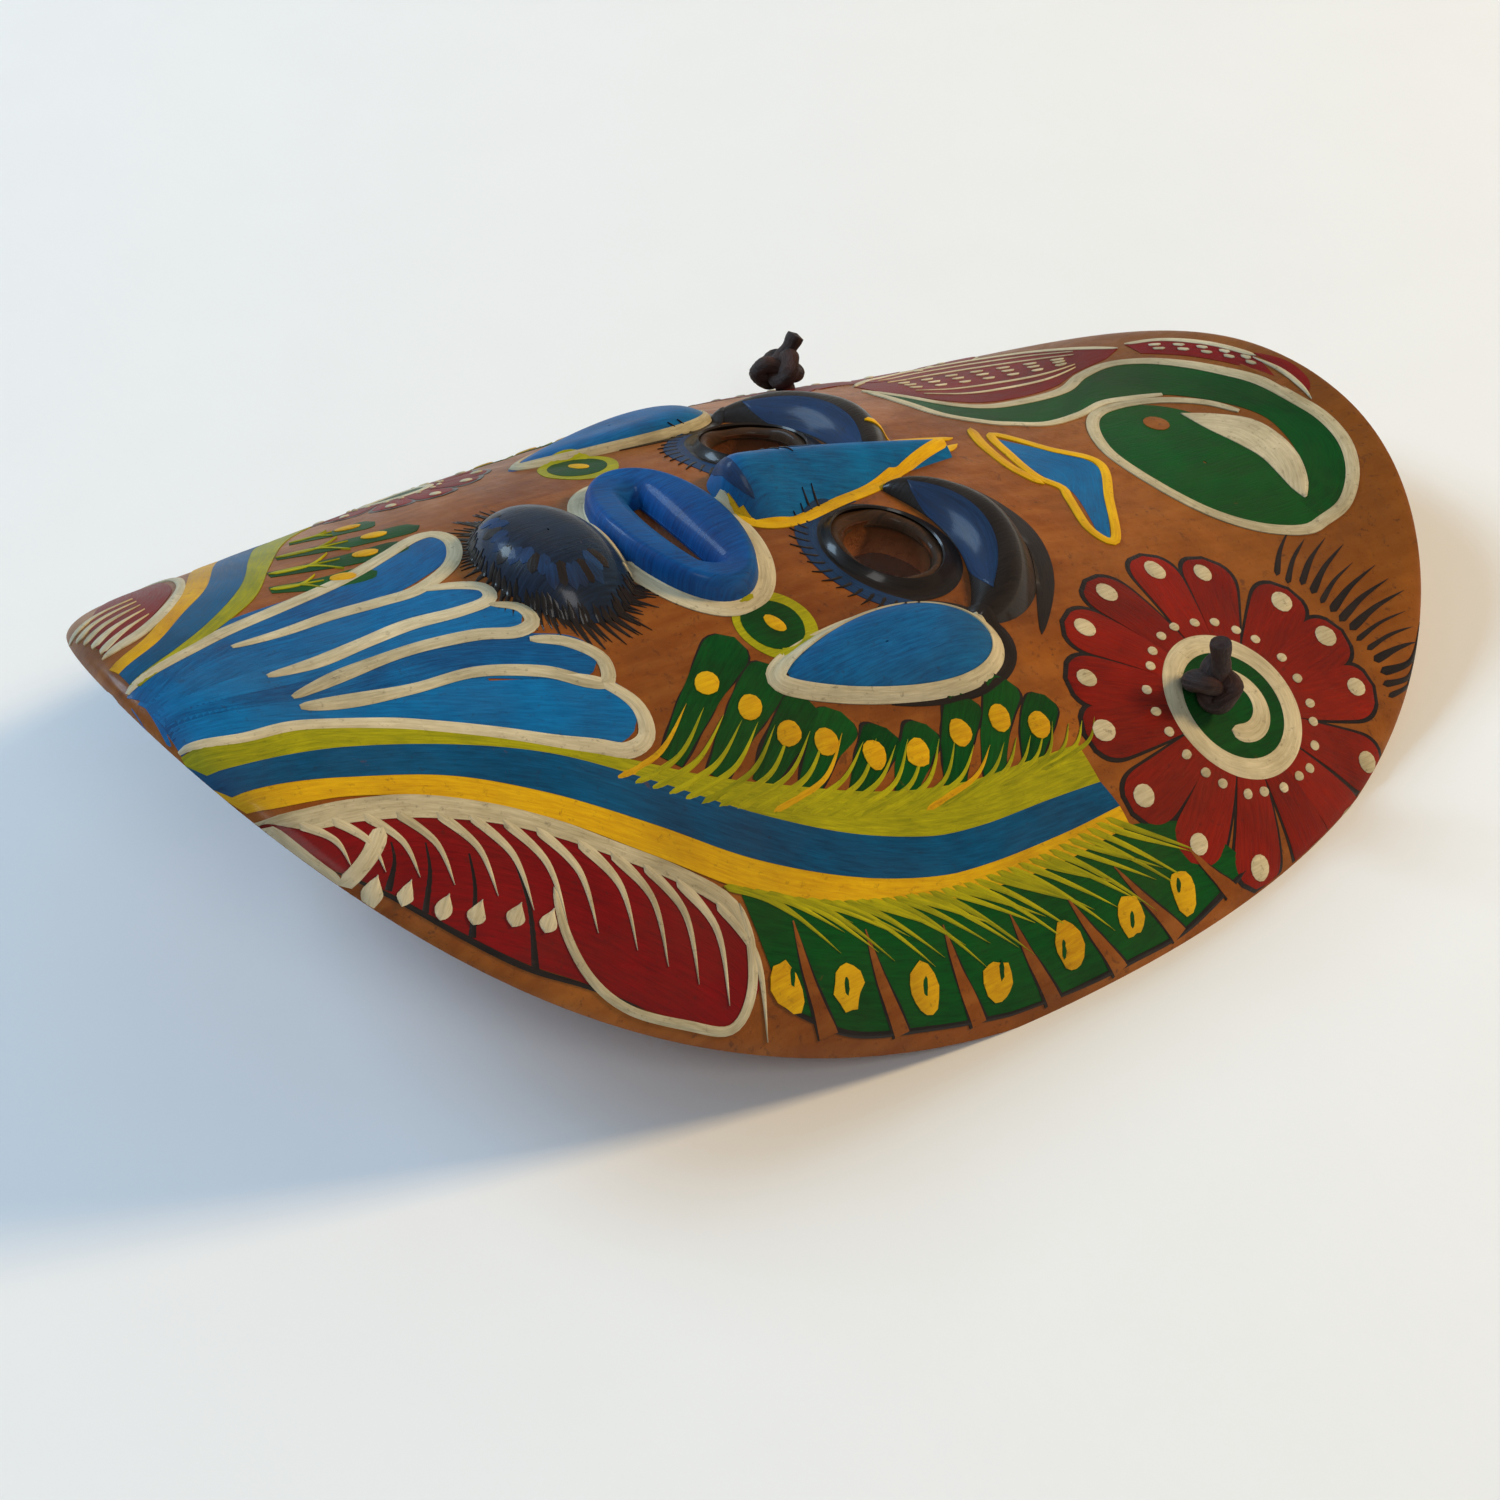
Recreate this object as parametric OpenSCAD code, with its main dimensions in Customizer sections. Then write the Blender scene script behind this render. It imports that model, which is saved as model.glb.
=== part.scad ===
// Painted clay face mask with applied clay features and a knotted leather hanging thong.
// It lies face up: +X runs to the forehead, -X to the chin, and the rim rests on z = 0.

/* [Shell] */
// Length from the chin to the top of the forehead
shell_l = 230; // [200:1:260]
// Width of the outline at its middle
shell_w = 161; // [150:1:175]
// Height of the face at its middle
crown_h = 45; // [43:0.5:49]
// Height that the rim rises to at the chin
chin_rise = 64.5; // [62:0.5:65]
// Height that the rim rises to at the forehead
brow_rise = 26.5; // [25:0.5:27]
// Depth that the rim is worn flat by, where it rests
rest_wear = 4; // [3.5:0.5:5]
// Thickness of the clay at the middle
wall = 6; // [4:0.5:8]
// Width of the flat edge of the rim
rim_w = 7; // [5:0.5:9]

/* [Face] */
// Diameter of each eye hole
eye_d = 14; // [10:0.5:16]
// Length of the open mouth slot
mouth_l = 22; // [16:1:26]
// Width of the open mouth slot
mouth_w = 5; // [4.5:0.5:6]
// Height of the nose at its tip
nose_h = 8.5; // [6:0.5:11]
// Height of the two lips
lip_h = 4; // [3:0.5:6]
// Height of the chin tuft
tuft_h = 6; // [4:0.5:8]
// Height of the eyebrows
brow_h = 5.5; // [3:0.5:7]
// Height of the cheeks
cheek_h = 5; // [3:0.5:7]
// Height of the eyelid rims
lid_h = 1.8; // [1:0.2:2.4]

/* [Thong] */
// Diameter of the leather thong
thong_d = 3.6; // [3:0.2:4]
// Diameter of the hole that the thong goes through
thong_hole_d = 5; // [4.4:0.2:6]
// Diameter of the knot on the face of the mask
knot_d = 9.5; // [8:0.5:11]
// Length of the tail that stands out of the knot
tail_l = 8; // [5:0.5:11]

/* [Hidden] */

near = -1;
far = 1;
half_l = shell_l / 2;
half_w = shell_w / 2;
end_s = 0.9999;
rows = 44;
cols = 30;
sink = 0.4;
clay = [0.62, 0.40, 0.24];
blue = [0.12, 0.35, 0.66];
black = [0.15, 0.13, 0.13];
leather = [0.20, 0.12, 0.10];

// Places on the face: the mouth and the tuft sit a little off the middle, and the rest come in pairs
mouth = [-22.5, -3];
tuft = [-43, -1];
eye = [8, 17.5];
cheek_at = [-7, 36.5];
hole = [42, 54.5];

// Slope and height of the face at the thong holes, and how far the lace reaches into them
hole_tilt = 29;
hole_z = 19.5;
stub_l = 6.3;

// Hand-laid route of the slack stretch behind the face, from the near hole to the far one
route = [[41.5, -50.2, 12.2], [37, -46, 9], [30, -39, 5], [21, -30, 2.8], [12, -20, 2.2], [5, -9, 2.1],
         [3, 2, 2.1], [6, 12, 2.1], [13, 21, 2.2], [22, 30, 2.8], [30, 39, 5], [37, 46, 9],
         [41.5, 50.2, 12.2]];
route_steps = 4;
ring_sides = 8;

// The outline, the rim and the crest of the face, each along s from -1 at the chin to 1 at the forehead
function rim_z(s) = max(chin_rise * pow((1 - s) / 2, 5) + brow_rise * pow((1 + s) / 2, 7) - rest_wear, 0);
function crown_z(s) = crown_h - 26 * s - 19.5 * pow(s, 2) + 4.5 * pow(s, 3) + 20.5 * pow(s, 4);
function outline(s) = half_w * pow(1 - pow(abs(s), 2.2), 1 / 2.2) * (1 + 0.045 * s - 0.05 * s * s);
function section(v) = pow(max(1 - v * v, 0), 0.78);
function arch_h(s) = (crown_z(s) - rim_z(s)) * sqrt(1 - pow(abs(s), 24));
function clamp_s(x) = max(-end_s, min(end_s, x / half_l));
function face_z(x, y) = let (s = clamp_s(x), v = min(1, abs(y) / outline(s)))
    rim_z(s) + arch_h(s) * section(v);

// Triangles over a grid of points, closed round when wrap is 1
function cell(a, b, c, d) = [[a, b, c], [a, c, d]];
function flip(tris) = [for (t = tris) [t[0], t[2], t[1]]];
function sheet(n, m, start, wrap = 0) = [for (i = [0 : n - 2], j = [0 : m - 2 + wrap])
    let (k = (j + 1) % m) each cell(start + i * m + j, start + i * m + k,
                                    start + (i + 1) * m + k, start + (i + 1) * m + j)];

// The shell: an outer and an inner arched sheet, joined by the flat rim
function station(i) = -cos(acos(end_s) + (180 - 2 * acos(end_s)) * i / rows);
function across(j) = sin(-90 + 180 * j / cols);
function arch(outer) = [for (i = [0 : rows], j = [0 : cols])
    let (s = station(i), v = across(j), h = arch_h(s),
         x = outer ? half_l : half_l - rim_w,
         y = outer ? 1 : (half_w - rim_w) / half_w,
         rise = outer ? h : h * (1 - wall / max(h, 3 * wall)))
    [x * s, y * outline(s) * v, rim_z(s) + rise * section(v)]];
function border(m) = concat([for (j = [0 : cols]) j], [for (i = [1 : rows]) i * m + cols],
    [for (j = [1 : cols]) rows * m + cols - j], [for (i = [1 : rows - 1]) (rows - i) * m]);

module shell_body() {
    m = cols + 1;
    count = (rows + 1) * m;
    edge = border(m);
    skirt = [for (k = [0 : len(edge) - 1]) let (a = edge[k], b = edge[(k + 1) % len(edge)])
        each cell(a, a + count, b + count, b)];
    polyhedron(concat(arch(true), arch(false)),
               concat(sheet(rows + 1, m, 0), flip(sheet(rows + 1, m, count)), flip(skirt)));
}

module clay_shell() {
    color(clay) difference() {
        shell_body();
        for (side = [near, far]) {
            translate([eye.x, side * eye.y, 0]) cylinder(h = 80, d = eye_d, $fn = 64);
            translate([hole.x, side * hole.y, hole_z]) rotate([side * -hole_tilt, 0, 0])
                cylinder(h = 24, d = thong_hole_d, center = true, $fn = 48);
        }
        mouth_slot();
    }
}

module mouth_slot() {
    reach = (mouth_l - mouth_w) / 2;
    translate(mouth) {
        translate([-mouth_w / 2, -reach, 0]) cube([mouth_w, 2 * reach, 80]);
        for (side = [near, far]) translate([0, side * reach, 0]) cylinder(h = 80, d = mouth_w, $fn = 48);
    }
}

// A clay lump on the face from a grid of [x, y, height]: its top follows the face and its base sinks in a little.
// Walls close the first and last rows, and where the rows aren't rings, the first and last columns too.
function row_wall(a, m, wrap, count) = [for (j = [0 : m - 2 + wrap]) let (k = (j + 1) % m)
    each cell(a + j, a + k, a + k + count, a + j + count)];
function column_wall(j, n, m, count) = [for (i = [0 : n - 2]) let (a = i * m + j)
    each cell(a, a + m, a + m + count, a + count)];

module lump(grid, n, m, wrap, plug = false) {
    tops = [for (p = grid) [p.x, p.y, face_z(p.x, p.y) + p.z]];
    bases = [for (p = grid) [p.x, p.y, face_z(p.x, p.y) - sink]];
    count = n * m;
    start = plug ? [[for (j = [0 : m - 1]) m - 1 - j], [for (j = [0 : m - 1]) count + j]]
        : flip(row_wall(0, m, wrap, count));
    ends = wrap == 1 ? [] : concat(column_wall(0, n, m, count), flip(column_wall(m - 1, n, m, count)));
    polyhedron(concat(tops, bases), concat(sheet(n, m, 0, wrap), flip(sheet(n, m, count, wrap)), start, ends,
                                           row_wall((n - 1) * m, m, wrap, count)));
}

// An oval lump: a round dome, or one that narrows to a point toward the chin when taper is above 0
module oval_lump(at, turn, radii, h, taper = 0) {
    n = 9;
    m = 32;
    grid = [for (i = [0 : n - 1], j = [0 : m - 1])
        let (r = sin(5 + 85 * i / (n - 1)), a = 360 * j / m,
             u = radii.x * r * cos(a), v = radii.y * r * sin(a) * (1 - taper * 0.22 + taper * 0.28 * cos(a)),
             rise = (1 - pow(r, 4)) * (1 - taper * 0.25 + taper * 0.35 * r * cos(a)))
        [at.x + u * cos(turn) - v * sin(turn), at.y + u * sin(turn) + v * cos(turn), h * rise]];
    lump(grid, n, m, 1, true);
}

function round_in(u, over) = let (t = min(1, u / over)) sqrt(t * (2 - t));

module nose() {
    n = 22;
    m = 13;
    tip = [-10, 1.5];
    bridge = [38, 6];
    half = 9.5;
    grid = [for (i = [0 : n - 1], j = [0 : m - 1])
        let (u = 0.004 + 0.992 * i / (n - 1), v = -1 + 2 * j / (m - 1))
        [tip.x + (bridge.x - tip.x) * u,
         tip.y + (bridge.y - tip.y) * u + half * round_in(u, 0.16) * (1 - 0.72 * u) * v,
         nose_h * round_in(u, 0.1) * (1 - 0.75 * u) * (1 - pow(abs(v), 1.7))]];
    color(blue) lump(grid, n, m, 0);
}

module lips() {
    color(blue) difference() {
        oval_lump(mouth, 0, [10.5, 17.5], lip_h);
        mouth_slot();
    }
}

module chin_tuft() {
    color(black) oval_lump(tuft, 0, [10.5, 15.5], tuft_h);
}

module cheek(side) {
    color(blue) oval_lump([cheek_at.x, side * cheek_at.y], side * 5, [20.5, 9.5], cheek_h, 1);
}

module brow(side) {
    n = 24;
    m = 9;
    radius = 17;
    half = 6.2;
    grid = [for (i = [0 : n - 1], j = [0 : m - 1])
        let (u = 0.01 + 0.98 * i / (n - 1), v = -1 + 2 * j / (m - 1), a = 58 - 140 * u,
             swell = pow(sin(180 * u), 0.6), r = radius + half * swell * v)
        [eye.x + 1 + r * cos(a), side * (eye.y - r * sin(a)),
         brow_h * swell * (1 - pow(abs(v), 2.5)) * (1 + 0.35 * v)]];
    facing = [for (i = [0 : n - 1], j = [0 : m - 1]) grid[i * m + (side == far ? m - 1 - j : j)]];
    color(black) lump(facing, n, m, 0);
}

module eyelid(side) {
    n = 7;
    m = 32;
    inner = eye_d / 2 + 0.2;
    outer = inner + 2.6;
    grid = [for (i = [0 : n - 1], j = [0 : m - 1]) let (t = i / (n - 1), a = 360 * j / m)
        [eye.x + (inner + (outer - inner) * t) * cos(a), side * eye.y + (inner + (outer - inner) * t) * sin(a),
         lid_h * sin(180 * t) + 0.05]];
    color(black) lump(grid, n, m, 1);
}

// The knot on the face, its tail, and the short stretch that goes through the hole to the pivot
module knot(side) {
    lean = side * -hole_tilt;
    color(leather) translate([hole.x, side * hole.y, hole_z]) rotate([lean, 0, 0]) {
        translate([0, 0, -stub_l]) cylinder(h = stub_l + 1.8, d = thong_d, $fn = 32);
        difference() {
            translate([0, 0, 3.6]) sphere(d = knot_d, $fn = 48);
            translate([-knot_d, -knot_d, -knot_d + 0.6]) cube([2 * knot_d, 2 * knot_d, knot_d]);
        }
        translate([0, 0, 5]) rotate([side * 25, 0, 0]) cylinder(h = tail_l, d = thong_d, $fn = 32);
    }
}

// A smooth curve through the hand-laid route
function spline(a, b, c, d, t) = 0.5 * (2 * b + (c - a) * t + (2 * a - 5 * b + 4 * c - d) * t * t
    + (3 * b - a - 3 * c + d) * t * t * t);
function smooth(p, steps) = let (last = len(p) - 1)
    concat([for (i = [0 : last - 1], k = [0 : steps - 1])
        spline(p[max(i - 1, 0)], p[i], p[i + 1], p[min(i + 2, last)], k / steps)], [p[last]]);
function unit(v) = v / norm(v);
function tube_points(line, r, sides) = let (last = len(line) - 1) [for (i = [0 : last])
    let (t = unit(line[min(i + 1, last)] - line[max(i - 1, 0)]), u = unit(cross(t, [0, 0, 1])), w = cross(u, t))
    for (k = [0 : sides - 1]) line[i] + r * (cos(360 * k / sides) * u + sin(360 * k / sides) * w)];

module thong() {
    line = smooth(route, route_steps);
    count = len(line) * ring_sides;
    caps = [[for (k = [1 : ring_sides]) ring_sides - k], [for (k = [1 : ring_sides]) count - ring_sides + k - 1]];
    color(leather) polyhedron(tube_points(line, thong_d / 2, ring_sides),
                              concat(sheet(len(line), ring_sides, 0, 1), caps));
}

clay_shell();
nose();
lips();
chin_tuft();
brow(near);  // brow_near
brow(far);  // brow_far
cheek(near);  // cheek_near
cheek(far);  // cheek_far
eyelid(near);  // eyelid_near
eyelid(far);  // eyelid_far
knot(near);  // knot_near
knot(far);  // knot_far
thong();
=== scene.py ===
import math

import bmesh
import bpy
import numpy as np
from mathutils import Matrix, Vector


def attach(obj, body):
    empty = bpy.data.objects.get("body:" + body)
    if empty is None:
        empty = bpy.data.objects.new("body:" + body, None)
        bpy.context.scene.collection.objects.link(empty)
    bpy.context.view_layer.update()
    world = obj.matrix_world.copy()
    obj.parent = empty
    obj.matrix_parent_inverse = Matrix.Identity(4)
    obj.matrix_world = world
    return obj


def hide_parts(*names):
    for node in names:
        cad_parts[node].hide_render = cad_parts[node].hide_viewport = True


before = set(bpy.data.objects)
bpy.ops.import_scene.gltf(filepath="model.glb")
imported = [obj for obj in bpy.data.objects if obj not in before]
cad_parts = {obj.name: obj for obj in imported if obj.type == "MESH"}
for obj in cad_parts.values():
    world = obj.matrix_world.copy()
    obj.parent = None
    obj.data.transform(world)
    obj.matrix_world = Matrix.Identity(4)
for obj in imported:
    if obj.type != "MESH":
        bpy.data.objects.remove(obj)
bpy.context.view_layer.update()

MM = 0.001
NEAR, FAR = -1, 1
scene = bpy.context.scene
rng = np.random.default_rng(7)

# ---------------------------------------------------------------- camera

CAMERA_AZ, CAMERA_EL, CAMERA_ROLL = math.radians(-35.5), math.radians(39.0), math.radians(-1.4)
CAMERA_FAR = 588 * MM
CAMERA_ASIDE = (5.2 * MM, 4.6 * MM)
LENS = 86.1


def camera_axes(az, el, roll):
    """Right, up and back of a camera that looks at the mask from azimuth az and elevation el."""
    back = Vector((math.sin(az) * math.cos(el), -math.cos(az) * math.cos(el), math.sin(el)))
    level = Vector((math.cos(az), math.sin(az), 0))
    upright = back.cross(level)
    right = math.cos(roll) * level + math.sin(roll) * upright
    up = -math.sin(roll) * level + math.cos(roll) * upright
    return right, up, back


def make_camera():
    right, up, back = camera_axes(CAMERA_AZ, CAMERA_EL, CAMERA_ROLL)
    data = bpy.data.cameras.new("camera")
    data.lens = LENS
    data.sensor_width = 36
    data.clip_start = 0.01
    data.clip_end = 20
    camera = bpy.data.objects.new("camera", data)
    place = back * CAMERA_FAR - right * CAMERA_ASIDE[0] - up * CAMERA_ASIDE[1]
    turn = Matrix((right, up, back)).transposed().to_4x4()
    camera.matrix_world = Matrix.Translation(place) @ turn
    scene.collection.objects.link(camera)
    scene.camera = camera


make_camera()

# ---------------------------------------------------------------- the face's surface, in millimetres

HALF_L, HALF_W = 115.0, 80.5
RIM_W, WALL = 7.0, 6.0
END_S = 0.9999
EYE = (8.0, 17.5)
EYE_R = 7.0
MOUTH = (-22.5, -3.0)
MOUTH_L, MOUTH_W = 22.0, 5.0
LIP_RADII = (10.5, 17.5)
TUFT, TUFT_RADII = (-43.0, -1.0), (10.5, 15.5)
CHEEK, CHEEK_RADII, CHEEK_TURN = (-7.0, 36.5), (20.5, 9.5), math.radians(5)
NOSE_X, NOSE_L, NOSE_W, NOSE_H = -10, 48, 9.5, 8.5
BROW_R, BROW_W, BROW_H = 17, 6.2, 5.5
BROW_FROM, BROW_SWEEP = 58, 140
HOLE = (42.0, 54.5)
HOLE_Z, HOLE_TILT, HOLE_D = 19.5, 29.0, 5.0
LACE_D = 3.6


def rim_z(s):
    """Height of the rim: a fifth power toward the chin, a seventh toward the forehead, worn flat between."""
    return np.maximum(64.5 * ((1 - s) / 2) ** 5 + 26.5 * ((1 + s) / 2) ** 7 - 4, 0)


def crown_z(s):
    """Height of the crest of the face, a quartic along its length."""
    return 45 - 26 * s - 19.5 * s**2 + 4.5 * s**3 + 20.5 * s**4


def outline(s):
    """Half width of the outline, an oval of power 2.2 that is a little fuller toward the forehead."""
    return HALF_W * (1 - np.abs(s) ** 2.2) ** (1 / 2.2) * (1 + 0.045 * s - 0.05 * s * s)


def arch_h(s):
    """Rise of the crest over the rim, taken to nothing at the two ends."""
    return (crown_z(s) - rim_z(s)) * np.sqrt(1 - np.abs(s) ** 24)


def section(v):
    """Cross-section of the face: a rounded arch from rim to rim."""
    return np.maximum(1 - v * v, 0) ** 0.78


def face_z(x, y):
    """Height of the plain face over the point (x, y)."""
    s = np.clip(x / HALF_L, -END_S, END_S)
    return rim_z(s) + arch_h(s) * section(np.minimum(np.abs(y) / outline(s), 1))


def round_in(u, over):
    """Quarter-circle rise from 0 at u = 0 to 1 at u = over."""
    t = np.clip(u / over, 0, 1)
    return np.sqrt(t * (2 - t))


def nose_half(u):
    """Half width of the nose a part u of the way from its tip to the bridge."""
    return NOSE_W * round_in(u, 0.16) * (1 - 0.72 * u)


def nose_high(u, v):
    """Rise of the nose at u along it and v from its middle (0) to its side (1)."""
    return NOSE_H * round_in(u, 0.1) * (1 - 0.75 * u) * (1 - v**1.7)


def nose_rise(x, y):
    """Wedge of the nose: widest and highest at its tip, thinning to the bridge."""
    u = np.clip((x - NOSE_X) / NOSE_L, 0, 1)
    v = np.clip(np.abs(y - 1.5 - 4.5 * u) / np.maximum(nose_half(u), 0.01), 0, 1)
    return np.where((x > NOSE_X) & (x < NOSE_X + NOSE_L), nose_high(u, v), 0)


def brow_swell(u):
    """How full the brow ridge is at u along it, 1 in its middle."""
    return np.sin(np.pi * np.clip(u, 0, 1)) ** 0.6


def brow_high(u, v):
    """Rise of the brow ridge at u along it and v across it, from -1 to 1."""
    return BROW_H * brow_swell(u) * (1 - np.abs(v) ** 2.5) * (1 + 0.35 * v)


def brow_rise(x, y, side):
    """Crescent ridge round the forehead side of an eye."""
    across, along = EYE[1] - side * y, x - EYE[0] - 1
    u = (BROW_FROM - np.degrees(np.arctan2(across, along))) / BROW_SWEEP
    v = (np.hypot(across, along) - BROW_R) / np.maximum(BROW_W * brow_swell(u), 0.01)
    return np.where((u > 0) & (u < 1), brow_high(u, np.clip(v, -1, 1)), 0)


def on_brow(u, v, side):
    """(x, y) at u along a brow ridge and v across it."""
    a = np.radians(BROW_FROM - BROW_SWEEP * u)
    r = BROW_R + BROW_W * brow_swell(u) * v
    return EYE[0] + 1 + r * np.cos(a), side * (EYE[1] - r * np.sin(a))


def lid_rise(x, y, side):
    """Raised ring round an eye hole."""
    t = (np.hypot(x - EYE[0], y - side * EYE[1]) - 7.2) / 2.6
    return np.where((t > 0) & (t < 1), 1.8 * np.sin(np.pi * np.clip(t, 0, 1)), 0)


def oval_place(x, y, at, turn, radii, taper=0.0):
    """Radius (1 at the edge) and angle of (x, y) in a turned oval that narrows toward the chin by taper."""
    c, s = math.cos(turn), math.sin(turn)
    u = ((x - at[0]) * c + (y - at[1]) * s) / radii[0]
    v = (-(x - at[0]) * s + (y - at[1]) * c) / radii[1]
    a = np.arctan2(v, u)
    for _ in range(4):
        narrow = 1 - taper * 0.22 + taper * 0.28 * np.cos(a)
        a = np.arctan2(v / narrow, u)
    return np.hypot(u, v / narrow), a


def oval_rise(x, y, at, turn, radii, h, taper=0.0):
    """Domed oval lump: flat on top, steep at its edge."""
    r, a = oval_place(x, y, at, turn, radii, taper)
    within_r = np.clip(r, 0, 1)
    rise = h * (1 - within_r**4) * (1 - taper * 0.25 + taper * 0.35 * within_r * np.cos(a))
    return np.where(r < 1, rise, 0)


def tuft_rise(x, y):
    return oval_rise(x, y, TUFT, 0, TUFT_RADII, 6)


def relief(x, y):
    """Height of all the applied clay features over the plain face."""
    rises = [nose_rise(x, y), oval_rise(x, y, MOUTH, 0, LIP_RADII, 4), tuft_rise(x, y)]
    for side in (NEAR, FAR):
        cheek = oval_rise(x, y, (CHEEK[0], side * CHEEK[1]), side * CHEEK_TURN, CHEEK_RADII, 5, 1)
        rises += [brow_rise(x, y, side), lid_rise(x, y, side), cheek]
    return np.max(rises, axis=0)


def skin(x, y):
    """Height of the face with its features."""
    return face_z(x, y) + relief(x, y)


def within(x, y, edge=0.9985):
    """(x, y) kept inside the outline of the face."""
    x = np.clip(x, -0.998 * HALF_L, 0.998 * HALF_L)
    most = edge * outline(x / HALF_L)
    return x, np.clip(y, -most, most)


def slope_normal(x, y, height, step=0.15):
    """Unit normal of a height function by central differences, taken inside the outline."""
    gx = (height(x + step, y) - height(x - step, y)) / (2 * step)
    gy = (height(x, y + step) - height(x, y - step)) / (2 * step)
    n = np.stack([-gx, -gy, np.ones_like(gx)], -1)
    return n / np.linalg.norm(n, axis=-1, keepdims=True)


def drape(x, y, lift, height=skin):
    """Points over (x, y), raised by lift along the surface's own normal."""
    x, y = within(x, y)
    p = np.stack([x, y, height(x, y)], -1)
    return p + slope_normal(x, y, height) * np.broadcast_to(lift, x.shape)[..., None]


# ---------------------------------------------------------------- curves and meshes


def steps_of(p):
    """Distances between the points of a curve."""
    return np.linalg.norm(np.diff(p, axis=0), axis=1)


def travelled(p):
    """Distance along a curve at each of its points."""
    return np.concatenate([[0], np.cumsum(steps_of(p))])


def smooth(points, n, closed=False):
    """Curve through a few points, by the Catmull-Rom rule, as n points evenly spaced along it."""
    p = np.array(points, float)
    m = len(p)
    spans = m if closed else m - 1
    t = np.linspace(0, spans, 24 * spans + 1)
    k = np.minimum(t.astype(int), spans - 1)
    f = (t - k)[:, None]
    pick = (lambda i: p[i % m]) if closed else (lambda i: p[np.clip(i, 0, m - 1)])
    a, b, c, d = pick(k - 1), pick(k), pick(k + 1), pick(k + 2)
    square, cube = 2 * a - 5 * b + 4 * c - d, 3 * b - a - 3 * c + d
    line = 0.5 * (2 * b + (c - a) * f + square * f**2 + cube * f**3)
    far = travelled(line)
    at = np.linspace(0, far[-1], n + 1)[:-1] if closed else np.linspace(0, far[-1], n)
    return np.stack([np.interp(at, far, line[:, i]) for i in range(p.shape[1])], -1)


def waver(n, size, bends=3):
    """A slow uneven factor round 1, as a hand-drawn edge has."""
    t = np.linspace(0, 2 * np.pi, n)
    made = sum(rng.normal() * np.sin(b * t + rng.uniform(0, 6.28)) / b for b in range(1, bends + 2))
    return 1 + size * made


def grid_faces(n, m, start, wrap_n=False, wrap_m=False):
    """Quads over an n by m grid of points."""
    rows, cols = np.arange(n if wrap_n else n - 1), np.arange(m if wrap_m else m - 1)
    i, j = np.meshgrid(rows, cols, indexing="ij")
    i2, j2 = (i + 1) % n, (j + 1) % m
    return start + np.stack([i * m + j, i2 * m + j, i2 * m + j2, i * m + j2], -1).reshape(-1, 4)


PAINT_SUNK, LUMP_SUNK = 0.3, 0.5


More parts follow.
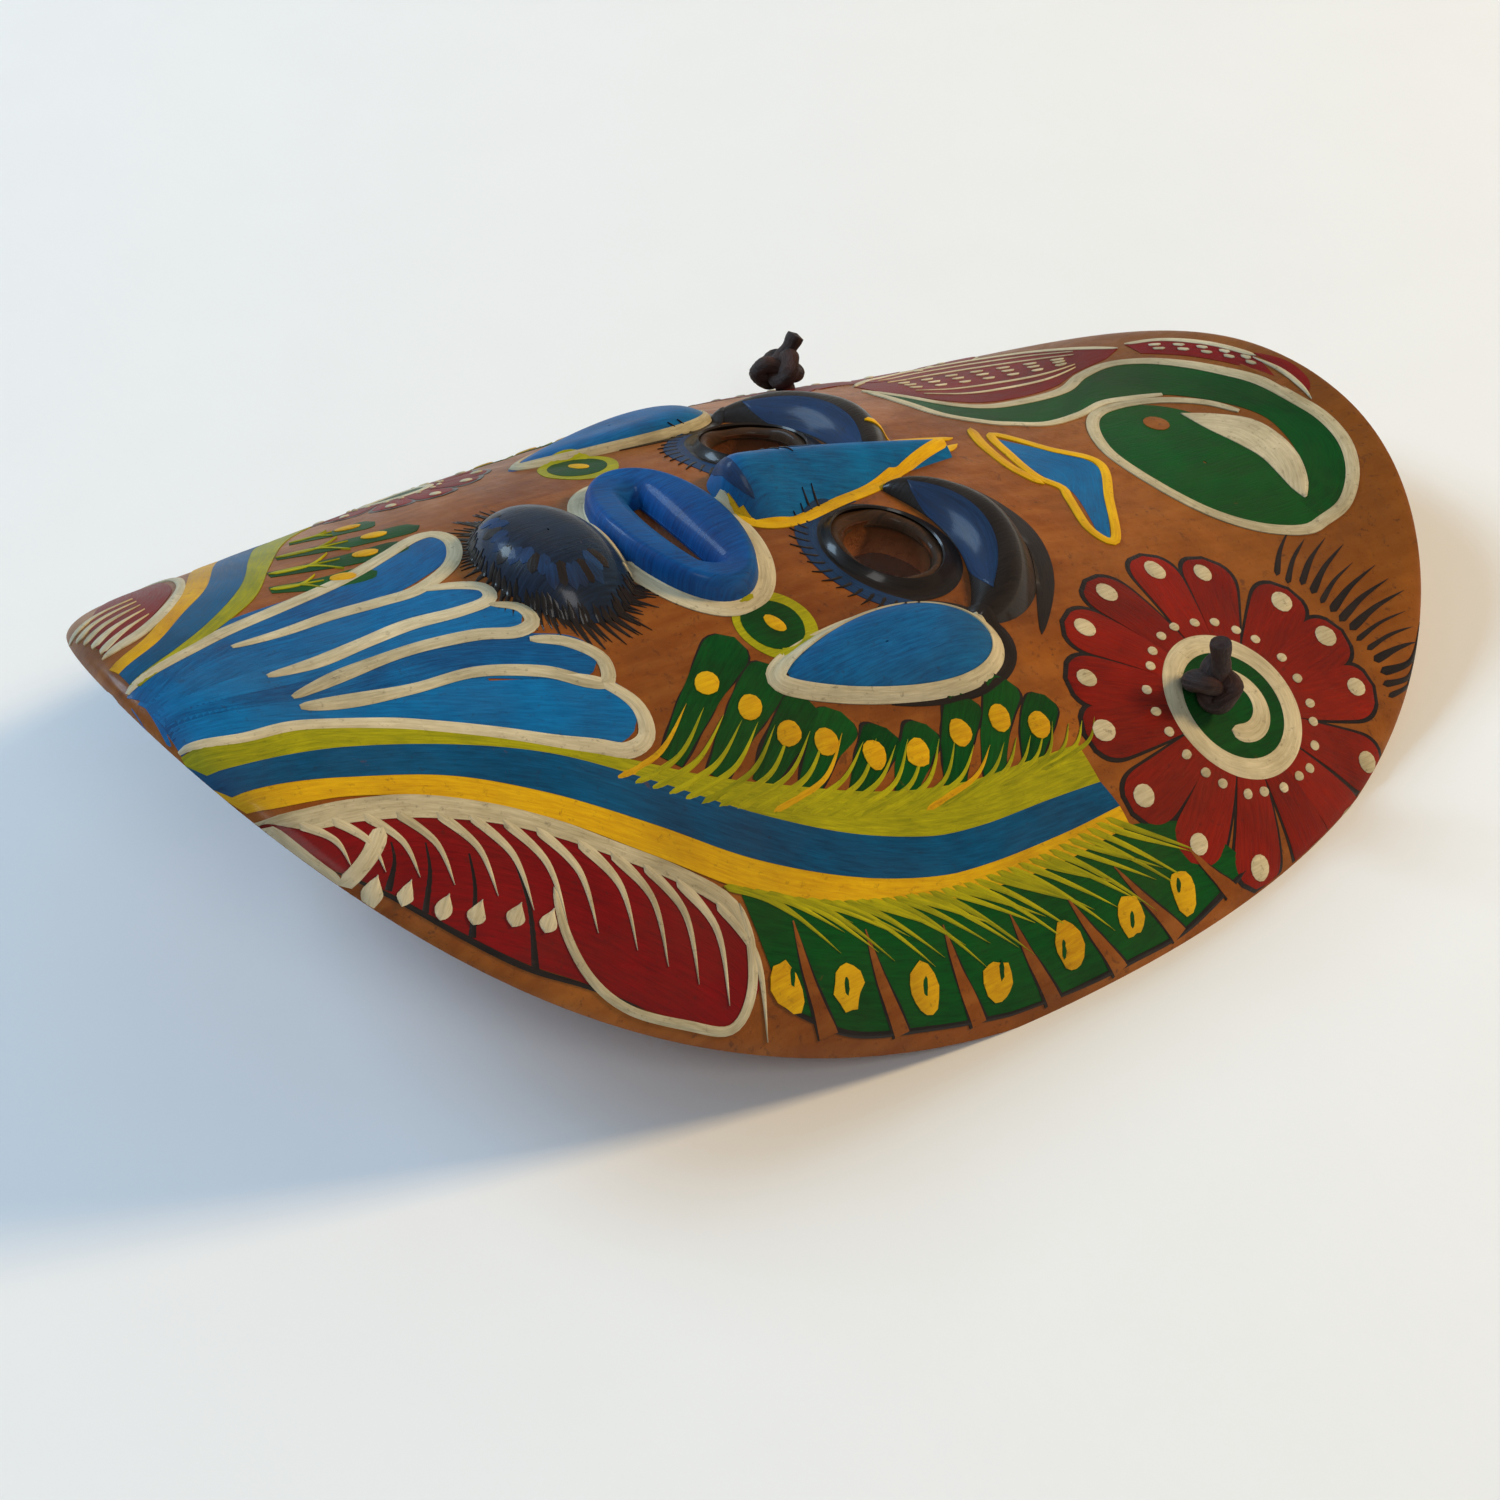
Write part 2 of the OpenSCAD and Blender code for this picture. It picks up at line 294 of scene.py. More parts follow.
class Coat:
    """Patches of one paint or clay, gathered into one mesh, with a UV in millimetres along and across."""

    def __init__(self, name):
        self.name, self.count = name, 0
        self.points, self.faces, self.uvs, self.tones = [], [], [], []

    def put(self, top, base, uv, tone, wrap_n=False, wrap_m=False):
        """Adds a slab between two n by m grids of points, closed at its edges."""
        n, m = top.shape[:2]
        a, b = self.count, self.count + n * m
        faces = [grid_faces(n, m, a, wrap_n, wrap_m), grid_faces(n, m, b, wrap_n, wrap_m)[:, ::-1]]
        along = np.arange(n if wrap_n else n - 1)
        across = np.arange(m if wrap_m else m - 1)
        i2, j2 = (along + 1) % n, (across + 1) % m
        if not wrap_m:
            first = np.stack([along * m, i2 * m, i2 * m, along * m], -1)
            faces.append(first + np.array([a, a, b, b]))
            faces.append((first + m - 1 + np.array([a, a, b, b]))[:, ::-1])
        if not wrap_n:
            edge = np.stack([across, j2, j2, across], -1)
            faces.append((edge + np.array([a, a, b, b]))[:, ::-1])
            faces.append(edge + (n - 1) * m + np.array([a, a, b, b]))
        self.points += [top.reshape(-1, 3), base.reshape(-1, 3)]
        self.uvs += [uv.reshape(-1, 2)] * 2
        self.tones += [np.full(2 * n * m, tone)]
        self.faces += faces
        self.count += 2 * n * m

    def lay(self, x, y, lift, body, swell, along, across, tone=None, height=skin, **wraps):
        """Drapes a grid over the face as a thin skin of paint, thicker by body where swell is 1."""
        tone = rng.uniform(0, 1) if tone is None else tone
        shift = rng.uniform(0, 400, 2)
        uv = np.stack(np.broadcast_arrays(along + shift[0], across + shift[1]), -1)
        top, base = drape(x, y, lift + body * swell, height), drape(x, y, -PAINT_SUNK, height)
        self.put(top, base, uv, tone, **wraps)

    def stroke(self, points, half, lift=0.12, body=0.1, shape=None, closed=False, n=None, wave=0.05,
               height=skin, tone=None, across=5):
        """A brush stroke along a curve: shape(t) gives its width along it as a fraction of half."""
        p = np.array(points, float)
        n = n or int(np.clip(steps_of(p).sum() * 1.1, 8, 160))
        line = smooth(points, n, closed)
        x, y = within(line[:, 0], line[:, 1])
        at = np.stack([x, y, height(x, y)], -1)
        if closed:
            ahead = np.roll(at, -1, 0) - np.roll(at, 1, 0)
        else:
            ahead = np.gradient(at, axis=0)
        ahead /= np.maximum(np.linalg.norm(ahead, axis=1, keepdims=True), 1e-9)
        aside = np.cross(slope_normal(x, y, height), ahead)
        t = np.linspace(0, 1, n)
        width = half * (np.ones(n) if shape is None else shape(t)) * (1 if closed else waver(n, wave))
        q = np.linspace(-1, 1, across)
        off = at[:, None] + aside[:, None] * (width[:, None] * q)[..., None]
        self.lay(off[..., 0], off[..., 1], lift, body, 1 - q[None] ** 2, travelled(at)[:, None],
                 width[:, None] * q, tone, height, wrap_n=closed)

    def patch(self, edge_a, edge_b, lift, body, n=None, m=None, tone=None):
        """Paint between two curves."""
        a, b = np.array(edge_a, float), np.array(edge_b, float)
        n = n or int(np.clip(steps_of(a).sum() / 1.6, 6, 120))
        a, b = smooth(a, n), smooth(b, n)
        m = m or int(np.clip(np.linalg.norm(a - b, axis=1).max() / 1.6, 5, 40))
        q = np.linspace(0, 1, m)[None, :, None]
        grid = a[:, None] * (1 - q) + b[:, None] * q
        aside = np.linalg.norm(a - b, axis=1)[:, None] * q[..., 0]
        self.lay(grid[..., 0], grid[..., 1], lift, body, 1 - (2 * q[..., 0] - 1) ** 4,
                 travelled(a)[:, None], aside, tone)

    def blob(self, rim, lift=0.06, body=0.03, centre=None, rings=None, height=skin, place=None, wave=0.0):
        """Paint that fills a closed curve round its centre. place maps the curve's plane to (x, y)."""
        rim = np.array(rim, float)
        m = int(np.clip(steps_of(rim).sum(), 14, 110))
        edge = smooth(rim, m, closed=True)
        middle = edge.mean(0) if centre is None else np.array(centre, float)
        size = np.linalg.norm(edge - middle, axis=1).max()
        rings = rings or int(np.clip(size / 1.6, 3, 26))
        r = np.linspace(0.02, 1, rings)[:, None, None]
        if wave:
            edge = middle + (edge - middle) * waver(m, wave, 5)[:, None]
        grid = middle + (edge - middle)[None] * r
        x, y = (grid[..., 0], grid[..., 1]) if place is None else place(grid[..., 0], grid[..., 1])
        self.lay(x, y, lift, body, 1 - r[..., 0] ** 4, grid[..., 0], grid[..., 1], None, height, wrap_m=True)

    def tube(self, line, radius, sides=14, closed=False, squash=1.0):
        """A round tube along points already in space: radius may change along it."""
        p = np.array(line, float)
        n = len(p)
        ahead = np.roll(p, -1, 0) - np.roll(p, 1, 0) if closed else np.gradient(p, axis=0)
        ahead /= np.linalg.norm(ahead, axis=1, keepdims=True)
        u = np.cross(ahead, np.array([0.13, 0.21, 0.97]))
        u /= np.linalg.norm(u, axis=1, keepdims=True)
        w = np.cross(ahead, u)
        a = np.linspace(0, 2 * np.pi, sides, endpoint=False)
        r = np.broadcast_to(radius, (n,))[:, None, None]
        c, s = np.cos(a)[None, :, None], np.sin(a)[None, :, None]
        ring = p[:, None] + r * (c * u[:, None] + squash * s * w[:, None])
        uv = np.stack(np.broadcast_arrays(travelled(p)[:, None], a[None] * np.mean(radius)), -1)
        start = self.count
        self.points.append(ring.reshape(-1, 3))
        self.uvs.append(uv.reshape(-1, 2))
        self.tones.append(np.full(n * sides, rng.uniform()))
        self.faces.append(grid_faces(n, sides, start, closed, True))
        self.count += n * sides
        if not closed:
            for end, k in ((0, -1), (n - 1, 1)):
                tip = self.count
                self.points.append(p[end][None] + k * ahead[end][None] * r[end] * 0.25)
                self.uvs.append(uv[end, :1])
                self.tones.append(np.zeros(1))
                self.count += 1
                j = np.arange(sides)
                ring_at = start + end * sides
                a1, b1 = ring_at + j, ring_at + (j + 1) % sides
                cap = np.stack([a1, b1, np.full(sides, tip)], -1)
                self.faces.append(cap if k > 0 else cap[:, ::-1])

    def make(self, material, replaces=(), body="face"):
        """The finished object, riding on its body, with its material."""
        points = np.concatenate(self.points) * MM
        quads = [f for f in self.faces if f.shape[1] == 4]
        tris = [f for f in self.faces if f.shape[1] == 3]
        faces = [list(map(int, q)) for f in quads + tris for q in f]
        mesh = bpy.data.meshes.new(self.name)
        mesh.from_pydata(points, [], faces)
        uv, tone = np.concatenate(self.uvs), np.concatenate(self.tones)
        loops = np.empty(len(mesh.loops), np.int32)
        mesh.loops.foreach_get("vertex_index", loops)
        layer = mesh.uv_layers.new(name="brush")
        layer.data.foreach_set("uv", (uv[loops] * 0.1).astype(np.float32).ravel())
        shade = mesh.attributes.new("tone", "FLOAT", "POINT")
        shade.data.foreach_set("value", tone.astype(np.float32))
        bm = bmesh.new()
        bm.from_mesh(mesh)
        bmesh.ops.remove_doubles(bm, verts=bm.verts, dist=0.4e-5)
        bmesh.ops.dissolve_degenerate(bm, dist=0.2e-5, edges=bm.edges)
        bmesh.ops.recalc_face_normals(bm, faces=bm.faces)
        bm.to_mesh(mesh)
        bm.free()
        mesh.materials.append(material)
        made = bpy.data.objects.new(self.name, mesh)
        scene.collection.objects.link(made)
        shade_smooth(made, 35)
        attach(made, body)
        if replaces:
            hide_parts(*replaces)
        return made


def shade_smooth(made, degrees):
    """Smooth shading with edges sharper than this kept crisp."""
    mesh = made.data
    mesh.polygons.foreach_set("use_smooth", np.ones(len(mesh.polygons), bool))
    mesh.set_sharp_from_angle(angle=math.radians(degrees))


# Widths along a stroke, each a function of t from 0 at its start to 1 at its end
def round_both(t, k=0.12):
    return np.maximum(np.minimum(round_in(t, k), round_in(1 - t, k)), 0.02)


def taper_out(t):
    return np.maximum(round_in(t, 0.1) * (1 - t) ** 0.75, 0.03)


def taper_both(t):
    return np.maximum(np.sin(np.pi * t) ** 0.6, 0.03)


def lean_leaf(t):
    return np.maximum((0.45 + 0.55 * t**0.8) * round_in(1 - t, 0.16), 0.03)


def drop(t):
    return np.maximum(np.sin(np.pi * t**1.6) ** 0.8, 0.03)


def mid(a, b, dx=0.0, dy=0.0):
    """The point halfway from a to b, moved by (dx, dy)."""
    return (a[0] + b[0]) / 2 + dx, (a[1] + b[1]) / 2 + dy


# ---------------------------------------------------------------- materials


def new_group(name, inputs, outputs):
    group = bpy.data.node_groups.new(name, "ShaderNodeTree")
    for label, kind, value in inputs:
        socket = group.interface.new_socket(label, in_out="INPUT", socket_type=kind)
        if value is not None:
            socket.default_value = value
    for label, kind in outputs:
        group.interface.new_socket(label, in_out="OUTPUT", socket_type=kind)
    start = group.nodes.new("NodeGroupInput")
    end = group.nodes.new("NodeGroupOutput")
    return group, start, end


class Wiring:
    """Short ways to add nodes to a tree and join them."""

    def __init__(self, tree):
        self.tree = tree

    def feed(self, socket, value):
        """Gives a socket its value: another socket, a hex colour, or a plain number."""
        if isinstance(value, bpy.types.NodeSocket):
            self.tree.links.new(value, socket)
        else:
            socket.default_value = srgb(value) if isinstance(value, str) else value

    def node(self, kind, ins=(), **settings):
        made = self.tree.nodes.new(kind)
        for key, value in settings.items():
            setattr(made, key, value)
        for key, value in dict(ins).items():
            self.feed(made.inputs[key], value)
        return made

    def place(self):
        return self.node("ShaderNodeTexCoord").outputs["Object"]

    def brush_uv(self):
        return self.node("ShaderNodeUVMap", uv_map="brush").outputs[0]

    def attribute(self, label):
        return self.node("ShaderNodeAttribute", attribute_name=label).outputs["Fac"]

    def scaled(self, vector, scale, turn=0.0):
        ins = {"Vector": vector, "Scale": scale, "Rotation": (0, 0, turn)}
        return self.node("ShaderNodeMapping", ins).outputs[0]

    def noise(self, vector, scale, detail=4.0, rough=0.55, distort=0.0):
        ins = {"Vector": vector, "Scale": scale, "Detail": detail, "Roughness": rough, "Distortion": distort}
        return self.node("ShaderNodeTexNoise", ins).outputs["Fac"]

    def span(self, value, low, high, to_low=0.0, to_high=1.0):
        ins = {"Value": value, "From Min": low, "From Max": high, "To Min": to_low, "To Max": to_high}
        return self.node("ShaderNodeMapRange", ins).outputs["Result"]

    def math(self, op, a, b):
        return self.node("ShaderNodeMath", {0: a, 1: b}, operation=op).outputs[0]

    def times(self, a, b):
        return self.math("MULTIPLY", a, b)

    def plus(self, a, b):
        return self.math("ADD", a, b)

    def mix(self, fac, a, b):
        return self.node("ShaderNodeMix", {0: fac, 6: a, 7: b}, data_type="RGBA").outputs[2]


def srgb(hexed):
    """Linear colour of a hex one."""
    parts = [int(hexed[i : i + 2], 16) / 255 for i in (0, 2, 4)]
    return [c / 12.92 if c < 0.04045 else ((c + 0.055) / 1.055) ** 2.4 for c in parts] + [1.0]


def brush_group():
    """Brush grain: streaks along the stroke and slow thick and thin places, from the piece's own UV."""
    group, start, end = new_group(
        "brush grain",
        [("UV", "NodeSocketVector", None)],
        [("Streak", "NodeSocketFloat"), ("Pool", "NodeSocketFloat")])
    w = Wiring(group)
    uv = start.outputs["UV"]
    streak = w.noise(w.scaled(uv, (0.9, 9.0, 1.0)), 2.2, 4, 0.6, 0.25)
    hair = w.noise(w.scaled(uv, (2.0, 26.0, 1.0)), 2.0, 3, 0.6, 0.1)
    w.feed(end.inputs["Streak"], w.plus(w.times(streak, 0.65), w.times(hair, 0.35)))
    w.feed(end.inputs["Pool"], w.noise(uv, 0.9, 3, 0.55, 0.4))
    return group


def age_group():
    """Age: grime in slow clouds, fine dark specks, and small chips where the clay shows."""
    group, start, end = new_group(
        "age",
        [("Vector", "NodeSocketVector", None), ("Grime", "NodeSocketFloat", 0.3),
         ("Chips", "NodeSocketFloat", 0.3)],
        [("Grime", "NodeSocketFloat"), ("Specks", "NodeSocketFloat"), ("Chips", "NodeSocketFloat")])
    w = Wiring(group)
    place, grime = start.outputs["Vector"], start.outputs["Grime"]
    cloud = w.span(w.noise(place, 38, 5, 0.62, 0.6), 0.42, 0.78)
    speck = w.span(w.noise(place, 900, 3, 0.7), 0.60, 0.72)
    crack = w.span(w.noise(place, 210, 6, 0.75, 0.8), 0.665, 0.70)
    where = w.span(w.noise(place, 26, 2, 0.5), 0.45, 0.62)
    w.feed(end.inputs["Grime"], w.times(cloud, grime))
    w.feed(end.inputs["Specks"], w.times(speck, grime))
    w.feed(end.inputs["Chips"], w.times(w.times(crack, where), start.outputs["Chips"]))
    return group


BRUSH, AGE = brush_group(), age_group()
DARK_CLAY, WARM_CLAY = "6E380E", "9E5C1A"


def new_material(name):
    made = bpy.data.materials.new(name)
    made.use_nodes = True
    made.node_tree.nodes.clear()
    w = Wiring(made.node_tree)
    shader = w.node("ShaderNodeBsdfPrincipled")
    w.node("ShaderNodeOutputMaterial", {"Surface": shader.outputs[0]})
    return made, w, shader


def dress(w, shader, colour, rough, bumps, coat=None, coat_rough=0.0):
    """Feeds a shader: its colour, roughness, bump (strength, distance, height), and varnish if there is one."""
    strength, distance, height = bumps
    dent = w.node("ShaderNodeBump", {"Strength": strength, "Distance": distance, "Height": height})
    for label, value in (("Base Color", colour), ("Roughness", rough), ("Normal", dent.outputs[0])):
        w.feed(shader.inputs[label], value)
    if coat is not None:
        for label, value in (("Coat Weight", coat), ("Coat Roughness", coat_rough),
                             ("Specular IOR Level", 0.2), ("IOR", 1.46)):
            shader.inputs[label].default_value = value


def paint(name, deep, light, grime=0.35, chips=0.5, rough=(0.46, 0.7), coat=0.12, under=DARK_CLAY):
    """Hand-brushed paint, from its deep to its light tone, worn and varnished."""
    made, w, shader = new_material(name)
    grain = w.node("ShaderNodeGroup", {"UV": w.brush_uv()}, node_tree=BRUSH)
    age = w.node("ShaderNodeGroup", {"Vector": w.place(), "Grime": grime, "Chips": chips}, node_tree=AGE)
    streak = w.span(grain.outputs["Streak"], 0.36, 0.66)
    pool = w.span(grain.outputs["Pool"], 0.3, 0.7)
    blend = w.plus(w.times(streak, 0.5), w.times(pool, 0.35))
    colour = w.mix(w.plus(blend, w.span(w.attribute("tone"), 0, 1, -0.12, 0.2)), deep, light)
    for label, shade in (("Grime", "3A2A1C"), ("Specks", "2A1E16"), ("Chips", under)):
        colour = w.mix(age.outputs[label], colour, shade)
    high = w.math("SUBTRACT", grain.outputs["Streak"], w.times(age.outputs["Chips"], 0.8))
    dress(w, shader, colour, w.span(grain.outputs["Streak"], 0.3, 0.7, *rough), (0.5, 0.00022, high), coat, 0.14)
    return made


def clay_material():
    """Burnished terracotta: mottled slip outside, bare matte clay inside, grime and worn specks, painted shade next to
    the raised features and in the eye holes.
    """
    made, w, shader = new_material("terracotta")
    place, inner = w.place(), w.attribute("inner")
    age = w.node("ShaderNodeGroup", {"Vector": place, "Grime": 0.55, "Chips": 0.5}, node_tree=AGE)
    slow = w.span(w.noise(place, 22, 5, 0.6, 0.7), 0.34, 0.68)
    mottle = w.span(w.noise(place, 130, 6, 0.65, 0.5), 0.35, 0.7)
    streak = w.span(w.noise(w.scaled(place, (1.0, 7.0, 3.0), 0.5), 60, 4, 0.6, 0.2), 0.42, 0.7)
    apart = w.node("ShaderNodeSeparateXYZ", {"Vector": place})
    top = w.span(apart.outputs["X"], 0.03, 0.115)
    # Painted shade: the clay is darkened, unevenly, close to the raised clay features.
    painted_relief_shade = w.times(w.attribute("shade_near_relief"), w.span(w.noise(place, 150, 4, 0.65, 0.8), 0.35, 0.6, 0.2, 1.0))
    blot = w.span(w.noise(place, 330, 5, 0.72, 0.6), 0.6, 0.68)
    colour = w.mix(slow, DARK_CLAY, WARM_CLAY)
    for mask, share, shade in ((mottle, 0.65, "703A12"), (streak, 0.16, "C98A45"), (top, 0.65, "663C08"),
                               (painted_relief_shade, 0.6, "40261A"), (blot, 0.6, "4A2C18")):
        colour = w.mix(w.times(mask, share), colour, shade)
    colour = w.mix(age.outputs["Grime"], colour, "5A3820")
    colour = w.mix(age.outputs["Specks"], colour, "34221A")
    pores = w.span(w.noise(place, 700, 4, 0.7), 0.45, 0.7)
    bare = w.mix(w.times(pores, 0.4), w.mix(slow, "9A5C3A", "B87850"), "7A4630")
    colour = w.mix(inner, colour, bare)
    # Painted shade: the clay round and inside the eye holes is darkened, most near the face.
    eye_shade_mix = w.times(w.attribute("eye_hole_shade"), w.span(mottle, 0, 1, 0.95, 0.55))
    colour = w.mix(eye_shade_mix, colour, "2A1812")
    rough = w.plus(w.span(mottle, 0, 1, 0.42, 0.62), w.times(inner, 0.4))
    high = w.plus(w.times(w.noise(place, 420, 5, 0.65), 0.35), w.noise(place, 45, 3, 0.5))
    high = w.plus(high, w.times(w.times(pores, inner), -0.5))
    dress(w, shader, colour, rough, (0.45, 0.0009, high), 0.15, 0.16)
    return made


def leather_material():
    """Old dark leather lace: lengthwise creases, fine grain, rubbed lighter in places."""
    made, w, shader = new_material("dark_leather")
    place = w.place()
    crease = w.noise(w.scaled(w.brush_uv(), (1.2, 8.0, 1.0)), 5, 4, 0.65, 0.5)
    grain = w.noise(place, 1500, 4, 0.7)
    rub = w.span(w.noise(place, 160, 3, 0.6), 0.5, 0.75)
    colour = w.mix(w.span(crease, 0.35, 0.68), "1C110D", "3E271F")
    colour = w.mix(w.times(rub, 0.45), colour, "5C3A2C")
    dress(w, shader, colour, w.span(grain, 0.3, 0.7, 0.5, 0.78), (0.8, 0.0005, w.plus(crease, w.times(grain, 0.3))))
    return made


TERRACOTTA = clay_material()
LEATHER = leather_material()
BLUE = paint("blue_paint", "053E70", "0E74B2", under="6A4A34")
BRIGHT_BLUE = paint("bright_blue_paint", "012E66", "0664B0", 0.3, 0.6, under="2A2018")
# Dusk blue: the blue paint on the inner half of each brow ridge, painted shade round the eyes and on the nose's tip,
# and a painted sheen on the tuft.
DUSK_BLUE_SHADE_SHEEN = paint("dusk_blue_paint_shade_sheen", "14243C", "244A78", 0.4, 0.9, under="2A221C")
TEAL = paint("teal_paint", "04395C", "0C6090", 0.3)
OLIVE = paint("olive_paint", "6C7208", "B8B00E", 0.25)
YELLOW = paint("yellow_paint", "B07C06", "E2B60E")
GREEN = paint("green_paint", "032C08", "0A541A", 0.3)
DEEP_RED = paint("deep_red_paint", "520606", "880E0E", 0.4)
BRICK_RED = paint("brick_red_paint", "5E1006", "901E0A", 0.4)
CREAM = paint("cream_paint", "988F70", "DCD2B2", 0.4, 0.45)
BLACK = paint("black_paint", "15110E", "2C241E", 0.2, 0.6, (0.34, 0.55), 0.3)
NIGHT = paint("night_paint", "0E1216", "1E3450", 0.2, 0.4, (0.32, 0.55), 0.3)
SOOT = paint("scuffed_dark_paint", "1C1611", "5A3E28", 0.5, 0.9, (0.5, 0.75), 0.1)

# ---------------------------------------------------------------- leather: the lace and its two knots

ROUTE = [(41.5, -50.2, 12.2), (37, -46, 9), (30, -39, 5), (21, -30, 2.8), (12, -20, 2.2), (5, -9, 2.1),
         (3, 2, 2.1), (6, 12, 2.1), (13, 21, 2.2), (22, 30, 2.8), (30, 39, 5), (37, 46, 9), (41.5, 50.2, 12.2)]


def make_knot(name, node, side):
    """Overhand knot: a three-lobed loop of lace drawn tight, its tail above and its stretch in the hole below."""
    lean = math.radians(-side * HOLE_TILT)
    turn = np.array(Matrix.Rotation(lean, 3, "X"))
    origin = np.array([HOLE[0], side * HOLE[1], HOLE_Z])
    coat = Coat(name)
    t = np.linspace(0, 2 * np.pi, 72, endpoint=False)
    wide = np.sin(t) + 2 * np.sin(2 * t)
    deep = np.cos(t) - 2 * np.cos(2 * t)
    loop = np.stack([1.12 * wide, 1.12 * deep, 3.9 - 1.7 * np.sin(3 * t)], -1)
    crumple = 1 + 0.1 * np.sin(5 * t) + 0.06 * np.sin(11 * t)
    coat.tube(loop @ turn.T + origin, 1.8 * crumple, 18, closed=True, squash=0.86)
    bend = math.radians(side * 25)
    up = np.array([0, -math.sin(bend), math.cos(bend)]) if side == NEAR else np.array([0.75, -0.3, 0.6])
    s = np.linspace(0, 1, 22)[:, None]
    curl = np.concatenate([0.35 * np.sin(4 * s), 0 * s, 0 * s], 1)
    tail = np.array([0, 0, 5.0]) + s * (7.6 if side == NEAR else 6.0) * up + curl
    coat.tube(tail @ turn.T + origin, 1.62 * (1 + 0.08 * np.sin(9 * s[:, 0])), 14, squash=0.9)
    stub = np.array([[0, 0, z] for z in np.linspace(-6.2, 4.0, 14)])
    coat.tube(stub @ turn.T + origin, 1.7, 14)
    return coat.make(LEATHER, [node])


def make_lace():
    line = smooth(ROUTE, 140)
    coat = Coat("lace")
    coat.tube(line, 0.5 * LACE_D * (1 + 0.02 * np.sin(np.linspace(0, 60, 140))), 16)
    lace = coat.make(LEATHER, ["thong"], "thong_loop")
    return lace, (line * MM).tolist(), steps_of(line).sum() * MM


knot_near = make_knot("lace_knot_near", "knot_near", NEAR)
knot_far = make_knot("lace_knot_far", "knot_far", FAR)
lace, lace_path, lace_length = make_lace()


# ---------------------------------------------------------------- clay shell


def arch(rows, cols, outer):
    """One arched sheet of the shell: stations along s by cosine, across v by sine, as the clay part has them."""
    end = math.acos(END_S)
    s = -np.cos(np.linspace(end, math.pi - end, rows))[:, None]
    v = np.sin(np.linspace(-math.pi / 2, math.pi / 2, cols))[None]
    h = arch_h(s)
    x, y = (HALF_L, 1) if outer else (HALF_L - RIM_W, (HALF_W - RIM_W) / HALF_W)
    rise = h if outer else h * (1 - WALL / np.maximum(h, 3 * WALL))
    grid = np.broadcast_arrays(x * s, y * outline(s) * v, rim_z(s) + rise * section(v))
    return np.stack(grid, -1)


def cutter():
    """Everything that is cut through the clay: two eyes, two lace holes and the mouth, with hand-cut edges."""
    bm = bmesh.new()

    def prism(ring, matrix):
        lower = [bm.verts.new(matrix @ Vector((x, y, -1))) for x, y in ring]
        upper = [bm.verts.new(matrix @ Vector((x, y, 1))) for x, y in ring]
        bm.faces.new(lower[::-1])
        bm.faces.new(upper)
        for i in range(len(ring)):
            j = (i + 1) % len(ring)
            bm.faces.new((lower[i], lower[j], upper[j], upper[i]))

    def through(x, y, z, reach, tilt=0.0):
        """Places a prism at (x, y, z), long enough to reach that far both ways."""
        at = Matrix.Translation(Vector((x, y, z)) * MM) @ Matrix.Rotation(tilt, 4, "X")
        return at @ Matrix.Diagonal((1, 1, reach * MM, 1))

    a = np.linspace(0, 2 * np.pi, 48, endpoint=False)
    for side in (NEAR, FAR):
        r = EYE_R * (1 + 0.03 * np.sin(3 * a + side) + 0.02 * np.sin(7 * a))
        prism(list(zip(r * np.cos(a) * MM, r * np.sin(a) * MM)), through(EYE[0], side * EYE[1], 40, 40))
        r = HOLE_D / 2 * MM
        prism(list(zip(r * np.cos(a), r * np.sin(a))),
              through(HOLE[0], side * HOLE[1], HOLE_Z, 12, math.radians(-side * HOLE_TILT)))
    reach = (MOUTH_L - MOUTH_W) / 2
    half = MOUTH_W / 2 * (1 + 0.05 * np.sin(4 * a))
    ring = [((h * math.cos(b)) * MM, (math.copysign(reach, math.sin(b)) + h * math.sin(b)) * MM)
            for b, h in zip(a + 0.01, half)]
    prism(ring, through(*MOUTH, 40, 40))
    bmesh.ops.recalc_face_normals(bm, faces=bm.faces)
    mesh = bpy.data.meshes.new("cutter")
    bm.to_mesh(mesh)
    bm.free()
    made = bpy.data.objects.new("cutter", mesh)
    scene.collection.objects.link(made)
    return made


def mark_inner(mesh):
    """Attributes of the shell: inner is 1 on bare clay behind the face and in cuts, the shade near relief is 1 close
    to the clay features, where the clay gets painted shade, and the eye hole shade is 1 in the eye holes, where their
    cut walls get painted shade."""
    co = np.empty(len(mesh.vertices) * 3, np.float32)
    mesh.vertices.foreach_get("co", co)
    p = co.reshape(-1, 3) / MM
    deep = face_z(p[:, 0], p[:, 1]) - p[:, 2]
    low = p[:, 2] - rim_z(np.clip(p[:, 0] / HALF_L, -END_S, END_S))
    inner = np.clip(deep / 2.0, 0, 1) * np.clip(low / 1.5 + 0.4, 0, 1)
    ring = np.linspace(0, 2 * np.pi, 12, endpoint=False)
    # Painted shade: how much raised relief lies round each point, used to darken the clay beside the features.
    round_about = [relief(p[:, 0] + r * math.cos(a), p[:, 1] + r * math.sin(a)) for a in ring for r in (2, 5)]
    near_by = np.mean(round_about, axis=0)
    eyes = [np.hypot(p[:, 0] - EYE[0], p[:, 1] - side * EYE[1]) for side in (NEAR, FAR)]
    # Painted shade: 1 round and inside the eye holes, less deep in their cut walls.
    eye_hole_shade = np.clip((9.5 - np.min(eyes, axis=0)) / 2, 0, 1) * np.clip(1.2 - deep / 5, 0.35, 1)
    for label, value in (("inner", inner), ("shade_near_relief", np.clip(near_by / 1.6, 0, 1)), ("eye_hole_shade", eye_hole_shade)):
        made = mesh.attributes.get(label) or mesh.attributes.new(label, "FLOAT", "POINT")
        made.data.foreach_set("value", value.astype(np.float32))


